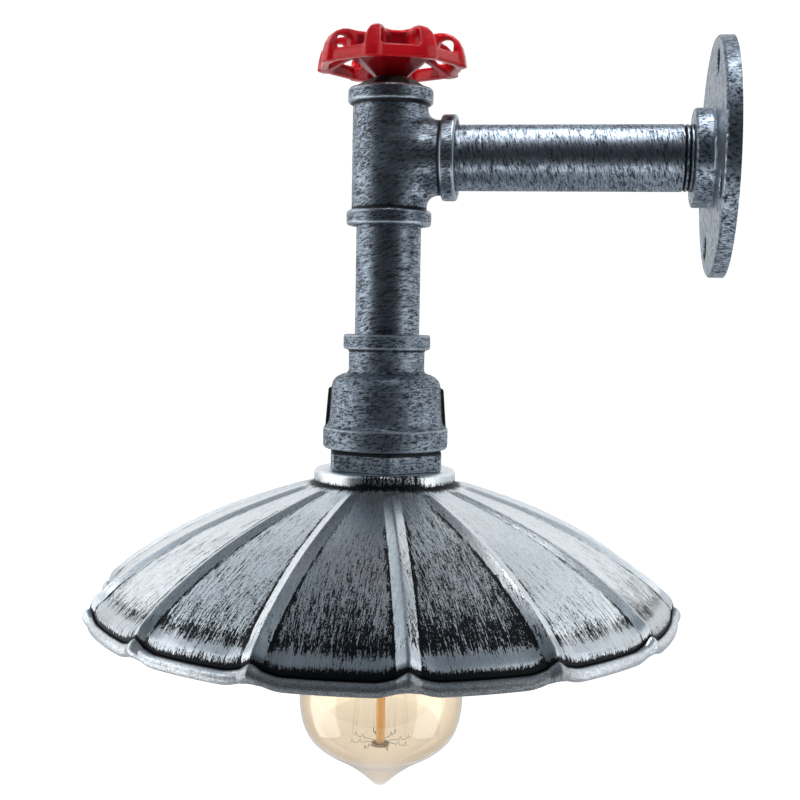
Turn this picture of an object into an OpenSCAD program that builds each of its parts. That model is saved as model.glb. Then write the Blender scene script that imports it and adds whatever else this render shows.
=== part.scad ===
// Pipe wall light: wall flange, arm, tee with a valve wheel switch, drop pipe,
// reducing socket, umbrella shade and a screw-in bulb.
// Millimetres, +Z up. The origin is the centre of the back face of the wall
// flange, +X points into the wall, the lamp hangs on the -X side.

/* [Pipework] */
// distance from the wall to the axis of the drop pipe
reach = 136; // [110:1:200]
// outside diameter of the pipes
pipe_od = 26.9; // [20:0.1:36]
// bore of the pipes
pipe_id = 21.6; // [14:0.1:30]
// pitch of the pipe thread
pipe_pitch = 1.814; // [1:0.001:3]
// centre-to-end length of the tee
tee_end = 28; // [24:0.5:40]
// diameter of the end bands of the tee
band_d = 35.2; // [30:0.1:44]
// width of the end bands of the tee
band_w = 6.2; // [4:0.1:10]
// diameter of the tee body
tee_body_d = 31.2; // [29:0.1:40]
// height of the top of the reducing socket below the arm axis
bell_top = 73; // [60:0.5:120]

/* [Wall flange] */
// diameter of the wall flange
flange_d = 95.4; // [70:0.2:130]
// thickness of the flange plate at the edge
flange_t = 6; // [4:0.1:10]
// diameter of the flange hub
hub_d = 39.6; // [34:0.2:50]
// height of the hub over the flange plate
hub_h = 7.5; // [4:0.1:16]
// pitch circle of the screw holes
hole_pcd = 76; // [56:0.5:110]
// diameter of the screw holes
hole_d = 8.4; // [4:0.1:12]
// turn of the hole pattern about the arm
hole_turn = 22; // [0:1:90]

/* [Shade] */
// radius of the shade at its ribs
shade_r = 124; // [90:0.5:180]
// drop of the rim below the collar of the shade
shade_h = 51; // [30:0.5:90]
// number of panels
panels = 14; // [8:1:20]
// thickness of the shade sheet
sheet = 1.2; // [0.8:0.1:2]
// radius of the shade collar
collar_r = 29.6; // [26:0.1:40]
// height of the shade collar
collar_h = 5.7; // [3:0.1:12]

/* [Valve wheel] */
// radius of the wheel over its corners
wheel_r = 31.7; // [24:0.1:45]
// number of arms of the wheel
wheel_arms = 8; // [5:1:10]
// height of the lower edge of the wheel over the arm axis
wheel_z = 35.3; // [34:0.1:45]
// radius of the eyes in the arms
hump_r = 2.7; // [1:0.1:3]
// shown angle of the wheel
wheel_turn = 0; // [0:1:90]

/* [Bulb] */
// largest radius of the glass
glass_r = 34.6; // [28:0.1:40]
// height of the bulb tip below the arm axis
tip_z = 265.2; // [240:0.2:300]

/* [Hidden] */
$fn = 72;
dx = -reach;
pr = pipe_od/2;
br = pipe_id/2;
tr = tee_body_d/2;
bnd = band_d/2;
fit = 0.05;                       // clearance of seated threads
cut = 0.5;
bz = -bell_top;                   // top of the reducing socket
bell_h = 47.5;
hz0 = bz - bell_h;                // top of the hexagon
hex_h = 8.5;
hz1 = hz0 - hex_h;                // underside of the hexagon, seat of the shade
hex_af = 45;
nip_r = 20.1;                     // large thread of the hexagon piece
nip_bore = 17.5;
hold_r = 17.2;                    // lampholder body
hold_top = bz - 30;
hold_bot = hz1 - 21.5;
sz0 = hz1;                        // top of the shade
sz1 = sz0 - collar_h;
cap_z = hz1 + 5;                  // tip of the bulb contact
back_d = 3.2;                     // depth of the recess in the back
back_r = 24;
wz = wheel_z;
hump_z = wz + 8.6;
hump_c = wheel_r - 8.5;
plate_z1 = wz + 7.2;
bon_z = tee_end;                  // seat of the bonnet
bon_h = 4.3;
spin_r = 4;
wheel_a = -90 + 8 - 15;           // one corner of the wheel

iron = [0.45, 0.48, 0.52];
red = [0.72, 0.07, 0.09];
brass = [0.8, 0.62, 0.28];
dark = [0.12, 0.12, 0.13];
white = [0.92, 0.91, 0.88];
amber = [0.95, 0.78, 0.45];

// ---- helpers ---------------------------------------------------------------

module ring(ro, ri, h) {
  rotate_extrude() translate([ri, 0]) square([ro - ri, h]);
}

// ring with rounded outer edges, from z = 0 to h
module band(ro, ri, h, e = 1) {
  rotate_extrude() difference() {
    translate([ri, 0]) square([ro - ri, h]);
    translate([ro - e, h - e]) difference() { square(e + cut); circle(e, $fn = 32); }
    translate([ro - e, 0]) difference() { translate([0, -cut]) square([e + cut, e + cut]); translate([0, e]) circle(e, $fn = 32); }
  }
}

// tube along +Z with thread grooves of the pipe over the first n turns
module nipple(len, n0, n1) {
  rotate_extrude() difference() {
    translate([br, 0]) square([pr - br, len]);
    for (i = [0 : n0 - 1]) translate([pr, 0.9 + i*pipe_pitch]) circle(0.62, $fn = 4);
    for (i = [0 : n1 - 1]) translate([pr, len - 0.9 - i*pipe_pitch]) circle(0.62, $fn = 4);
  }
}

// straight piece of wire between two points
module seg(a, b, r) {
  d = b - a;
  l = norm(d);
  translate(a) rotate([0, acos(d[2]/l), atan2(d[1], d[0])]) cylinder(r = r, h = l, $fn = 20);
}

module path(pts, r) {
  for (i = [0 : len(pts) - 2]) seg(pts[i], pts[i + 1], r);
  for (i = [1 : 1 : len(pts) - 2]) translate(pts[i]) sphere(r*1.12, $fn = 24);
}

// ---- pipework --------------------------------------------------------------

module wall_flange() color(iron) difference() {
  rotate([0, -90, 0]) rotate_extrude() difference() {
    union() {
      translate([pr + fit, 0]) square([flange_d/2 - pr - fit, flange_t]);
      translate([pr + fit, 0]) square([hub_d/2 - pr - fit, flange_t + hub_h]);
      translate([hub_d/2 - 0.2, flange_t - 0.2]) square(1.7);
    }
    translate([hub_d/2 + 1.5, flange_t + 1.5]) circle(1.5, $fn = 32);
    translate([hub_d/2 - 1, flange_t + hub_h - 1]) difference() { square(2); circle(1, $fn = 32); }
    translate([flange_d/2 - 1.2, flange_t - 1.2]) difference() { square(2); circle(1.2, $fn = 32); }
    translate([0, -cut]) square([back_r, back_d + cut]);
  }
  for (i = [0 : 3]) rotate([hole_turn + i*90, 0, 0]) translate([cut, -hole_pcd/2, 0]) rotate([0, -90, 0]) {
    cylinder(d = hole_d, h = flange_t + 2*cut);
    translate([0, 0, cut + flange_t - 1.2]) cylinder(d1 = hole_d, d2 = hole_d + 2.8, h = 1.4);
  }
  // tapped hole of the earth screw in the hub wall
  translate([-back_d + cut, 0, -16.9]) rotate([0, -90, 0]) cylinder(r = 1.55, h = 6.5, $fn = 24);
}

module arm_nipple() color(iron)
  translate([dx + tee_end - 14.4, 0, 0]) rotate([0, 90, 0]) nipple(reach - tee_end + 14.4 - back_d, 8, 8);

module drop_nipple() color(iron)
  translate([dx, 0, bz - 14]) nipple(14 + bell_top - tee_end + 14.4, 7, 8);

module tee() color(iron) difference() {
  union() {
    translate([dx, 0, -tee_end]) cylinder(r = tr, h = 2*tee_end);
    translate([dx, 0, 0]) rotate([0, 90, 0]) cylinder(r = tr, h = tee_end);
    translate([dx, 0, -tee_end]) band(bnd, tr - 1, band_w);
    translate([dx, 0, tee_end - band_w]) band(bnd, tr - 1, band_w);
    translate([dx + tee_end - band_w, 0, 0]) rotate([0, 90, 0]) band(bnd, tr - 1, band_w);
  }
  translate([dx, 0, -tee_end - cut]) cylinder(r = pr + fit, h = 15.2 + cut);
  translate([dx, 0, tee_end - 15.2]) cylinder(r = pr + fit, h = 15.2 + cut);
  translate([dx, 0, -tee_end]) cylinder(r = 12.2, h = 2*tee_end);
  // countersunk mouths of the lower end and of the branch
  translate([dx, 0, -tee_end - cut]) cylinder(r1 = 15.6, r2 = 12.6, h = 2.4 + cut);
  translate([dx + tee_end - 2.4, 0, 0]) rotate([0, 90, 0]) cylinder(r1 = 12.6, r2 = 15.6, h = 2.4 + cut);
  translate([dx + tee_end - 15.2, 0, 0]) rotate([0, 90, 0]) cylinder(r = pr + fit, h = 15.2 + cut);
  translate([dx, 0, 0]) rotate([0, 90, 0]) cylinder(r = 12, h = tee_end);
}

module bell_reducer() color(iron) translate([dx, 0, bz]) difference() {
  union() {
    rotate_extrude() difference() {
      union() {
        // neck, shoulder and body
        translate([11, -15]) square([15.8 - 11, 15]);
        polygon([[11, -14.4], [15.8, -14.4], [15.95, -15.3], [16.8, -16.1], [18.9, -16.8], [20.6, -17.8],
                 [21.8, -19], [22.6, -20.8], [22.9, -23.8], [23.3, -31.3], [23.7, -35.8], [24.5, -37.6],
                 [25, -38.2], [25, -bell_h], [11, -bell_h]]);
        translate([11, -6.1]) square([18.1 - 11, 6.1]);
        translate([11, -bell_h]) square([26.1 - 11, 8.7]);
      }
      // edges
      translate([18.1 - 0.9, -0.9]) difference() { square(2); circle(0.9, $fn = 32); }
      translate([18.1 - 0.9, -6.1]) difference() { translate([0, -1]) square([2, 1.9]); translate([0, 0.9]) circle(0.9, $fn = 32); }
      translate([26.1 - 1, -bell_h + 8.7 - 1]) difference() { square(2); circle(1, $fn = 32); }
      translate([26.1 - 2, -bell_h]) difference() { translate([0, -1]) square([3, 3]); translate([0, 2]) circle(2, $fn = 32); }
      // inside: small thread, cavity, seat of the lampholder, large thread
      translate([-1, -14.2]) square([pr + fit + 1, 16]);
      polygon([[-1, -13], [11.4, -13], [11.4, -17], [17.7, -26], [17.7, -31], [-1, -31]]);
      translate([-1, -bell_h - 1]) square([nip_r + fit + 1, bell_h + 1 - 30]);
    }
    for (s = [0, 180]) rotate([0, 0, 8 + s]) rotate([90, 0, 0]) linear_extrude(height = 4.8, center = true)
      polygon([[21.6, -39.2], [25.3, -39.2], [25.3, -38], [24.7, -31], [24.15, -23.6], [23.5, -22.3], [21.6, -22]]);
  }
}

module hex_nipple() color(iron) translate([dx, 0, 0]) difference() {
  union() {
    translate([0, 0, hz1 - 13]) cylinder(r = nip_r, h = hex_h + 13 + hold_top - 3.6 - hz0);
    rotate([0, 0, -90 + 12]) intersection() {
      translate([0, 0, hz1]) cylinder(d = hex_af/cos(30), h = hex_h, $fn = 6);
      translate([0, 0, hz1]) rotate_extrude() difference() {
        square([hex_af, hex_h]);
        translate([hex_af/2 + 1.6, hex_h]) rotate(-30) translate([-1, 0]) square([9, 5]);
      }
    }
  }
  translate([0, 0, hz1 - 14]) cylinder(r = nip_bore, h = 50);
  for (i = [0 : 4]) translate([0, 0, hz1 - 12.2 + i*2.309]) rotate_extrude() translate([nip_r, 0]) circle(0.8, $fn = 4);
}

// ---- shade -----------------------------------------------------------------

// outline of the dome as [radius, depth below the collar], 0 to 1 each
function dome_r(t) = collar_r + (shade_r - 6 - collar_r)*t;
function dome_z(t) = sz1 - (shade_h - 5)*(0.52*t + 0.17*t*t + 0.25*pow(t, 3.2));
dome_n = 16;
dome_out = [for (i = [0 : dome_n]) [dome_r(i/dome_n), dome_z(i/dome_n)]];
dome_in = [for (i = [dome_n : -1 : 0]) [dome_r(i/dome_n) - 0.35*sheet, dome_z(i/dome_n) - sheet*1.06]];
rib_up = [for (i = [0 : dome_n]) [dome_r(i/dome_n) + 0.6, dome_z(i/dome_n) + 1.1]];
rib_dn = [for (i = [dome_n : -1 : 0]) [dome_r(i/dome_n) - 0.2, dome_z(i/dome_n) - 0.5]];
rim_z = sz1 - shade_h;

module shade() color(iron) translate([dx, 0, 0]) {
  // collar and dome
  rotate_extrude($fn = 112) {
    difference() {
      translate([nip_r + 0.3, sz1 - sheet]) square([collar_r - nip_r - 0.3, collar_h + sheet]);
      translate([nip_r - 1, sz1 - sheet - cut]) square([collar_r - sheet - nip_r + 1, collar_h + cut]);
      translate([collar_r - 1, sz0 - 1]) difference() { square(2); circle(1, $fn = 32); }
    }
    polygon(concat(dome_out, dome_in));
    // rolled rim
    translate([shade_r - 4.4, rim_z + 0.6]) circle(2.6, $fn = 32);
    translate([shade_r - 7.2, rim_z]) square([2.2, 7.6]);
  }
  // ribs and the knobs where they meet the rim
  for (i = [0 : panels - 1]) rotate([0, 0, -90 + 12.4 + i*360/panels]) {
    rotate([0, 0, -1.6]) rotate_extrude(angle = 3.2, $fn = 112) polygon(concat(rib_up, rib_dn));
    translate([shade_r - 4, 0, rim_z + 2.4]) sphere(4, $fn = 24);
  }
}

module shade_ring() color(iron) translate([dx, 0, sz0 - sheet - 6]) difference() {
  band(27.2, nip_r + fit, 6, 0.8);
  for (i = [0 : 5]) rotate([0, 0, i*60]) translate([27.6, 0, -cut]) cylinder(r = 2, h = 6 + 2*cut, $fn = 24);
}

// ---- lampholder ------------------------------------------------------------

module lampholder_body() color(white) translate([dx, 0, 0]) difference() {
  union() {
    translate([0, 0, hold_bot]) cylinder(r = hold_r, h = hold_top - hold_bot - 0.1);
    translate([0, 0, hold_top - 3.6]) cylinder(r = 19.9, h = 3.5);
  }
  translate([0, 0, hold_bot - cut]) cylinder(r = 14.6, h = cap_z + 2.4 - hold_bot + cut);
  translate([0, 0, cap_z + 8.4]) cylinder(r = 12.6, h = 40);
  translate([0, 0, cap_z]) cylinder(r = 1.6, h = 20, $fn = 24);
  translate([10.2, 0, cap_z]) cylinder(r = 1.3, h = 20, $fn = 24);
}

module screw_shell() color(brass) translate([dx, 0, 0]) {
  difference() {
    translate([0, 0, hold_bot + 2.2]) ring(14.55, 13.4, cap_z + 2.3 - hold_bot - 2.2);
    for (i = [0 : 4]) translate([0, 0, hold_bot + 4.6 + i*3.629]) rotate_extrude() translate([13.3, 0]) scale([0.45, 1]) circle(1.3, $fn = 24);
  }
  translate([0, 0, cap_z + 1.7]) ring(13.6, 8.6, 0.6);
}

module centre_contact() color(brass) translate([dx, 0, 0]) {
  translate([0, 0, cap_z + 0.1]) cylinder(r = 3.2, h = 0.9, $fn = 32);
  translate([0, 0, cap_z + 0.9]) cylinder(r = 1.5, h = 7.6, $fn = 24);
  translate([-7, -2.2, cap_z + 8.45]) cube([8.6, 4.4, 0.6]);
}

module live_terminal() color(brass) translate([dx, 0, 0]) difference() {
  translate([-10.3, -3, cap_z + 9.1]) cube([6, 6, 6]);
  translate([-7.3, 0, cap_z + 11]) cylinder(r = 1.25, h = 8, $fn = 24);
  translate([-12, 0, cap_z + 12.4]) rotate([0, 90, 0]) cylinder(r = 1.05, h = 9, $fn = 24);
}

module neutral_terminal() color(brass) translate([dx, 0, 0]) {
  difference() {
    translate([5.2, -3, cap_z + 8.45]) cube([6, 6, 6.65]);
    translate([8.2, 0, cap_z + 11]) cylinder(r = 1.25, h = 8, $fn = 24);
    translate([2, 0, cap_z + 12.4]) rotate([0, 90, 0]) cylinder(r = 1.05, h = 9, $fn = 24);
  }
  translate([10.2, 0, cap_z + 2.35]) cylinder(r = 1.2, h = 6.5, $fn = 24);
}

module terminal_screws() color(brass) translate([dx, 0, 0]) for (x = [-7.3, 8.2]) difference() {
  union() {
    translate([x, 0, cap_z + 13.5]) cylinder(r = 1.2, h = 2.5, $fn = 24);
    translate([x, 0, cap_z + 15.15]) cylinder(r = 2, h = 1.6, $fn = 24);
  }
  translate([x - 3, -0.3, cap_z + 16]) cube([6, 0.6, 2]);
}

// ---- wiring ----------------------------------------------------------------

module wire_live() color([0.45, 0.28, 0.16])
  path([[-1, 4.5, 3.5], [dx + 20, 4.5, 3.5], [dx + 9, 2, -4], [dx + 6.2, 0, -4.6], [dx + 6.2, 0, 0.4]], 1);

module wire_switched() color([0.45, 0.28, 0.16])
  path([[dx - 6.2, 0, 0.4], [dx - 6.2, 0, -6], [dx - 6.4, 4, -30], [dx - 6.4, 4, -92],
        [dx - 3, 0, hold_top - 2], [dx - 3, 0, cap_z + 12.4], [dx - 5, 0, cap_z + 12.4]], 1);

module wire_neutral() color([0.2, 0.35, 0.65])
  path([[-1, -4.5, 3.5], [dx + 20, -4.5, 3.5], [dx + 4, -5, -10], [dx + 4, -5, -92],
        [dx + 3.2, 0, hold_top - 2], [dx + 3.2, 0, cap_z + 12.4], [dx + 6, 0, cap_z + 12.4]], 1);

module wire_earth() color([0.45, 0.62, 0.2])
  path([[-1.1, 3, -6], [-1.45, 0, -9], [-1.45, 0, -12.4]], 1);

module earth_lug() color(brass) {
  translate([-back_d, 0, -16.9]) rotate([0, 90, 0]) ring(3.4, 1.7, 0.7);
  translate([-back_d, -1.4, -13.8]) cube([0.7, 2.8, 2.6]);
}

module earth_screw() color(brass) difference() {
  union() {
    translate([-back_d - 5, 0, -16.9]) rotate([0, 90, 0]) cylinder(r = 1.5, h = 6.2, $fn = 24);
    translate([-back_d + 0.75, 0, -16.9]) rotate([0, 90, 0]) cylinder(r = 2.9, h = 1.9, $fn = 32);
  }
  translate([-1.2, -4, -17.25]) cube([2, 8, 0.7]);
}

// ---- valve bonnet and switch -----------------------------------------------

module bonnet() color(dark) translate([dx, 0, 0]) difference() {
  union() {
    translate([0, 0, bon_z - 12.8]) cylinder(r = pr, h = 13);
    // six-sided, drawn in upwards
    translate([0, 0, bon_z]) rotate([0, 0, 8]) cylinder(r1 = 15.6, r2 = 9.6, h = bon_h, $fn = 6);
  }
  translate([0, 0, 0]) cylinder(r = spin_r + 0.06, h = 60);
  translate([0, 0, bon_z - 3]) cylinder(r = 6.6, h = 4);
  translate([0, 0, bon_z - 13.5]) cylinder(r = 6, h = 2.5);
}

module packing_ring() color(dark) translate([dx, 0, bon_z - 2.9]) ring(6.55, spin_r + 0.35, 3.8);

module switch_housing() color([0.85, 0.84, 0.8]) translate([dx, 0, 0]) difference() {
  translate([0, 0, 3]) cylinder(r = 11.6, h = 12.1);
  translate([0, 0, 4.6]) cylinder(r = 9.6, h = 9.2);
  translate([0, 0, 4]) cylinder(r = spin_r + 0.6, h = 20);
  for (s = [0, 180]) rotate([0, 0, s]) translate([6.2, 0, 0]) cylinder(r = 1.45, h = 8, $fn = 24);
  // open quarter in the roof for the stop finger
  translate([0, 0, 13]) rotate([0, 0, -6]) rotate_extrude(angle = 102) translate([3, 0]) square([5.6, 4]);
}

module switch_contacts() color(brass) translate([dx, 0, 0]) for (s = [0, 180]) rotate([0, 0, s]) translate([6.2, 0, 0]) {
  translate([0, 0, 0.45]) cylinder(r = 1.4, h = 4.8, $fn = 24);
  translate([0, 0, 4.65]) cylinder(r = 2, h = 0.9, $fn = 24);
}

module switch_rotor() color(white) translate([dx, 0, 0]) rotate([0, 0, wheel_turn]) {
  translate([0, 0, 6.4]) ring(9, spin_r, 6);
  // stop finger
  rotate([0, 0, -4]) translate([0, 0, 12.2]) rotate_extrude(angle = 8) translate([5, 0]) square([3, 2.2]);
}

module rotor_bridge() color(brass) translate([dx, 0, 0]) rotate([0, 0, wheel_turn])
  translate([-8, -2, 5.85]) cube([16, 4, 0.55]);

module spindle() color(brass) translate([dx, 0, 0]) rotate([0, 0, wheel_turn]) {
  translate([0, 0, 6.45]) cylinder(r = spin_r, h = plate_z1 - 6.45);
  translate([0, 0, plate_z1 - 0.1]) cylinder(r = 3, h = 7.4);
}

// an arm: web from the drum, over the hump and down to the corner of the band, with an eye in it
module wheel_arm() rotate([90, 0, 0]) linear_extrude(height = 5.6, center = true) difference() {
  polygon([[wheel_r - 0.5, wz + 0.9], [wheel_r - 0.9, wz + 4.9], [wheel_r - 1.7, wz + 8.3], [wheel_r - 3.4, wz + 11.3],
    [wheel_r - 5.8, wz + 13.3], [wheel_r - 8.5, wz + 14.4], [wheel_r - 11.1, wz + 14.7], [wheel_r - 13.5, wz + 14.5],
    [wheel_r - 15.7, wz + 13.9], [wheel_r - 18.2, wz + 13.2], [wheel_r - 18.2, wz + 7.6], [wheel_r - 12.1, wz + 4.7], [wheel_r - 4.7, wz + 0.9]]);
  translate([hump_c, hump_z]) hull() for (i = [-0.4, 0.4], j = [-0.6, 0.6]) translate([i, j]) circle(r = hump_r, $fn = 32);
}

module handwheel() color(red) translate([dx, 0, 0]) rotate([0, 0, wheel_turn]) {
  // band
  rotate([0, 0, wheel_a]) rotate_extrude($fn = wheel_arms)
    polygon([[wheel_r - 3.4, wz + 0.7], [wheel_r, wz + 0.7], [wheel_r - 1.2, wz + 5.8], [wheel_r - 4.3, wz + 5.8]]);
  // arms, starting in the corners of the band
  for (i = [0 : wheel_arms - 1]) rotate([0, 0, wheel_a + i*360/wheel_arms]) wheel_arm();
  // funnel hub and drum with a hollow top
  rotate_extrude() polygon([[spin_r, bon_z + bon_h + 0.6], [6.4, bon_z + bon_h + 0.6], [7.2, bon_z + bon_h + 1.2], [16, plate_z1 - 1.8],
    [16.4, plate_z1 + 4], [16.2, plate_z1 + 6.5], [12.3, plate_z1 + 6.7], [10, plate_z1 + 2], [9.4, plate_z1], [spin_r, plate_z1]]);
}

module wheel_washer() color(brass) translate([dx, 0, plate_z1]) ring(6.4, 3, 1);

module wheel_nut() color(brass) translate([dx, 0, plate_z1 + 1]) rotate([0, 0, wheel_turn]) difference() {
  cylinder(d = 10/cos(30), h = 4.6, $fn = 6);
  translate([0, 0, -1]) cylinder(r = 3, h = 8);
}

// ---- bulb ------------------------------------------------------------------

function gl(r) = r*glass_r/34.6;
gz0 = cap_z - 24.6;               // lower edge of the cap
gt = -tip_z;
glass_out = [[11.4, gz0 + 1.5], [12.2, gz0 + 0.3], [12.25, gz0 - 0.15], [12.9, gz0 - 0.15], [13.6, gz0 - 2], [14.9, gz0 - 6], [17, gz0 - 12],
  [20.2, gz0 - 22], [24, gz0 - 34], [28, gz0 - 47], [gl(31.4), gt + 56], [gl(33.6), gt + 47], [gl(34.5), gt + 41],
  [gl(34.5), gt + 36], [gl(33.5), gt + 30], [gl(32), gt + 25.5], [gl(29.6), gt + 21.5], [gl(26), gt + 18], [gl(21.5), gt + 15],
  [gl(17.1), gt + 12.2], [gl(13.5), gt + 9.6], [gl(10.3), gt + 7.2], [gl(7.3), gt + 5], [gl(4.9), gt + 3], [gl(2.8), gt + 1.2], [0, gt]];
glass_in = [for (i = [len(glass_out) - 1 : -1 : 0]) [max(0, glass_out[i][0] - (i > len(glass_out) - 4 ? 2.4 : 1)), glass_out[i][1] + (i > len(glass_out) - 11 ? 1.1 : 0)]];

module bulb_glass() color(amber, 0.4) translate([dx, 0, 0])
  rotate_extrude() polygon(concat(glass_out, glass_in));

module cap_shell() color(brass) translate([dx, 0, 0]) rotate_extrude() difference() {
  translate([12.4, gz0]) square([0.7, 22.6]);
  for (i = [0 : 4]) translate([13.1, gz0 + 4.4 + i*3.629]) polygon([[0.2, 1.2], [-0.42, 0.3], [-0.42, -0.3], [0.2, -1.2]]);
}

module cap_insulator() color(dark) translate([dx, 0, 0]) rotate_extrude()
  polygon([[2.65, cap_z - 3.6], [12.35, cap_z - 3.6], [12.35, cap_z - 2.2], [10, cap_z - 1.9], [5, cap_z - 0.75], [2.65, cap_z - 0.75]]);

module cap_contact() color(brass) translate([dx, 0, 0]) {
  translate([0, 0, cap_z - 1.6]) cylinder(r = 2.6, h = 1, $fn = 32);
  translate([0, 0, cap_z - 0.65]) cylinder(r1 = 4.4, r2 = 3, h = 0.65, $fn = 32);
}

module stem_glass() color(amber, 0.5) translate([dx, 0, 0]) rotate_extrude()
  polygon([[0, gz0 - 44], [3.2, gz0 - 44], [3.6, gz0 - 20], [4.4, gz0 - 8], [8, gz0 - 3.4], [12.3, gz0 - 1], [12.3, gz0 - 0.2],
    [7.2, gz0 - 2.4], [3.4, gz0 - 8], [0, gz0 - 9]]);

rod_z = gt + 18.5;
module support_rod() color(amber) translate([dx, 0, rod_z]) cylinder(r = 1.9, h = gz0 - 44.05 - rod_z, $fn = 32);

module end_disc() color(amber) translate([dx, 0, rod_z - 1.2]) cylinder(r = 3.8, h = 1.15, $fn = 40);

hooks = 8;
hook_r = 13;
hook_z0 = rod_z + 2.2;
hook_z1 = gz0 - 46;
module filament_hooks() color([0.55, 0.5, 0.45]) for (i = [0 : hooks - 1])
  translate([dx, 0, 0]) rotate([0, 0, 22 + i*360/hooks]) {
    seg([1.95, 0, hook_z0], [hook_r - 0.35, 0, hook_z0 - 0.6], 0.22);
    rotate([0, 0, 180/hooks]) seg([1.95, 0, hook_z1], [hook_r - 4.35, 0, hook_z1 + 0.6], 0.22);
  }

// one wire that zigzags between the lower and the upper hooks
function fil_pt(i) = let (a = 22 + i*180/hooks, lo = i % 2 == 0)
  [dx + (lo ? hook_r : hook_r - 4)*cos(a), (lo ? hook_r : hook_r - 4)*sin(a), lo ? hook_z0 - 0.1 : hook_z1 + 0.1];
module filament() color([0.9, 0.55, 0.2]) path([for (i = [0 : 2*hooks - 2]) fil_pt(i)], 0.3);

module lead_wires() color([0.6, 0.55, 0.45]) {
  a0 = 22;
  path([[dx, 0, cap_z - 2], [dx + 1, 0, cap_z - 10], [dx + 1.2, 0, gz0 - 10]], 0.4);
  path([[dx + 10.5, 2, gz0 + 10], [dx + 3, 1.2, gz0 + 1], [dx - 1.2, 0.6, gz0 - 10]], 0.4);
}

// ---- drawing ---------------------------------------------------------------

wall_flange();
arm_nipple();
tee();
drop_nipple();
bell_reducer();
hex_nipple();
shade();
shade_ring();
lampholder_body();
screw_shell();
centre_contact();
live_terminal();
neutral_terminal();
terminal_screws();
wire_live();
wire_switched();
wire_neutral();
wire_earth();
earth_lug();
earth_screw();
bonnet();
packing_ring();
switch_housing();
switch_contacts();
switch_rotor();
rotor_bridge();
spindle();
handwheel();
wheel_washer();
wheel_nut();
bulb_glass();
cap_shell();
cap_insulator();
cap_contact();
stem_glass();
support_rod();
end_disc();
filament_hooks();
filament();
lead_wires();
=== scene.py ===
import math
import bpy
import bmesh
import numpy as np
from mathutils import Vector, Matrix, Euler


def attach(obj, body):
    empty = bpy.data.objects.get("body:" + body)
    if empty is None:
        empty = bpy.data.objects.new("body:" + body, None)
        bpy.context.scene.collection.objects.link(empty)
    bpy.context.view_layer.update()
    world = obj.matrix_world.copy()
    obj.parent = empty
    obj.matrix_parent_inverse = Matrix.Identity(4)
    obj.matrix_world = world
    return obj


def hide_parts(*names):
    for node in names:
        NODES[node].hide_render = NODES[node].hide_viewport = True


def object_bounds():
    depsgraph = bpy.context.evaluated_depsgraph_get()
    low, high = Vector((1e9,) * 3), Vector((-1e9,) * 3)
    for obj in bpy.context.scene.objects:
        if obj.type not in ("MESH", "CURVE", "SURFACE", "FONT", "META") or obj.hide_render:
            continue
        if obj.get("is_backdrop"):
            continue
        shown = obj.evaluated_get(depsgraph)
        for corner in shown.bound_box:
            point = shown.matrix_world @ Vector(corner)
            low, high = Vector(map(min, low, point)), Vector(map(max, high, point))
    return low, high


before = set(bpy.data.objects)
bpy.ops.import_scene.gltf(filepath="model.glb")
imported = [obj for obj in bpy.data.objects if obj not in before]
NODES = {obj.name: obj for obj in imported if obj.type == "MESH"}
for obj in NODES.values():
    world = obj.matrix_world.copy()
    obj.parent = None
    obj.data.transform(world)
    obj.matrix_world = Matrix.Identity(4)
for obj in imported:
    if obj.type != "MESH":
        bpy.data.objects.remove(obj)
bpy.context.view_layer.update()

MM = 0.001
DX = -136.0                     # axis of the drop pipe, mm
TAU = 2 * math.pi

# ---------------------------------------------------------------------------
# small helpers
# ---------------------------------------------------------------------------


def lerp(a, b, t):
    return a + (b - a) * t


def smooth(a, b, x):
    t = min(1.0, max(0.0, (x - a) / (b - a)))
    return t * t * (3 - 2 * t)


def spline(pts, per=8):
    """Points along a smooth curve through pts (centripetal Catmull-Rom)."""
    out = []
    n = len(pts)
    for i in range(n - 1):
        p0, p1, p2, p3 = pts[max(i - 1, 0)], pts[i], pts[i + 1], pts[min(i + 2, n - 1)]
        for k in range(per):
            t = k / per
            q = []
            for a, b, c, d in zip(p0, p1, p2, p3):
                q.append(0.5 * (2 * b + (c - a) * t + (2 * a - 5 * b + 4 * c - d) * t * t + (3 * b - a - 3 * c + d) * t ** 3))
            out.append(tuple(q))
    out.append(tuple(pts[-1]))
    return out


def arc(cx, cy, r, a0, a1, n):
    return [(cx + r * math.cos(math.radians(lerp(a0, a1, i / n))), cy + r * math.sin(math.radians(lerp(a0, a1, i / n)))) for i in range(n + 1)]


def link(name, verts, faces, mats, shade_smooth=True, face_mats=None):
    me = bpy.data.meshes.new(name)
    me.from_pydata([(x * MM, y * MM, z * MM) for x, y, z in verts], [], faces)
    me.validate()
    me.update()
    for m in mats:
        me.materials.append(m)
    if face_mats:
        for p, m in zip(me.polygons, face_mats):
            p.material_index = m
    for p in me.polygons:
        p.use_smooth = shade_smooth
    ob = bpy.data.objects.new(name, me)
    bpy.context.scene.collection.objects.link(ob)
    bm = bmesh.new()
    bm.from_mesh(me)
    bmesh.ops.recalc_face_normals(bm, faces=bm.faces)
    bm.to_mesh(me)
    bm.free()
    return ob


def grid_faces(nu, nv, close_u, close_v):
    """Quads of a grid of nu by nv points, index = i * nv + j."""
    f = []
    for i in range(nu if close_u else nu - 1):
        for j in range(nv if close_v else nv - 1):
            a = i * nv + j
            b = ((i + 1) % nu) * nv + j
            c = ((i + 1) % nu) * nv + (j + 1) % nv
            d = i * nv + (j + 1) % nv
            f.append((a, b, c, d))
    return f


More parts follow.
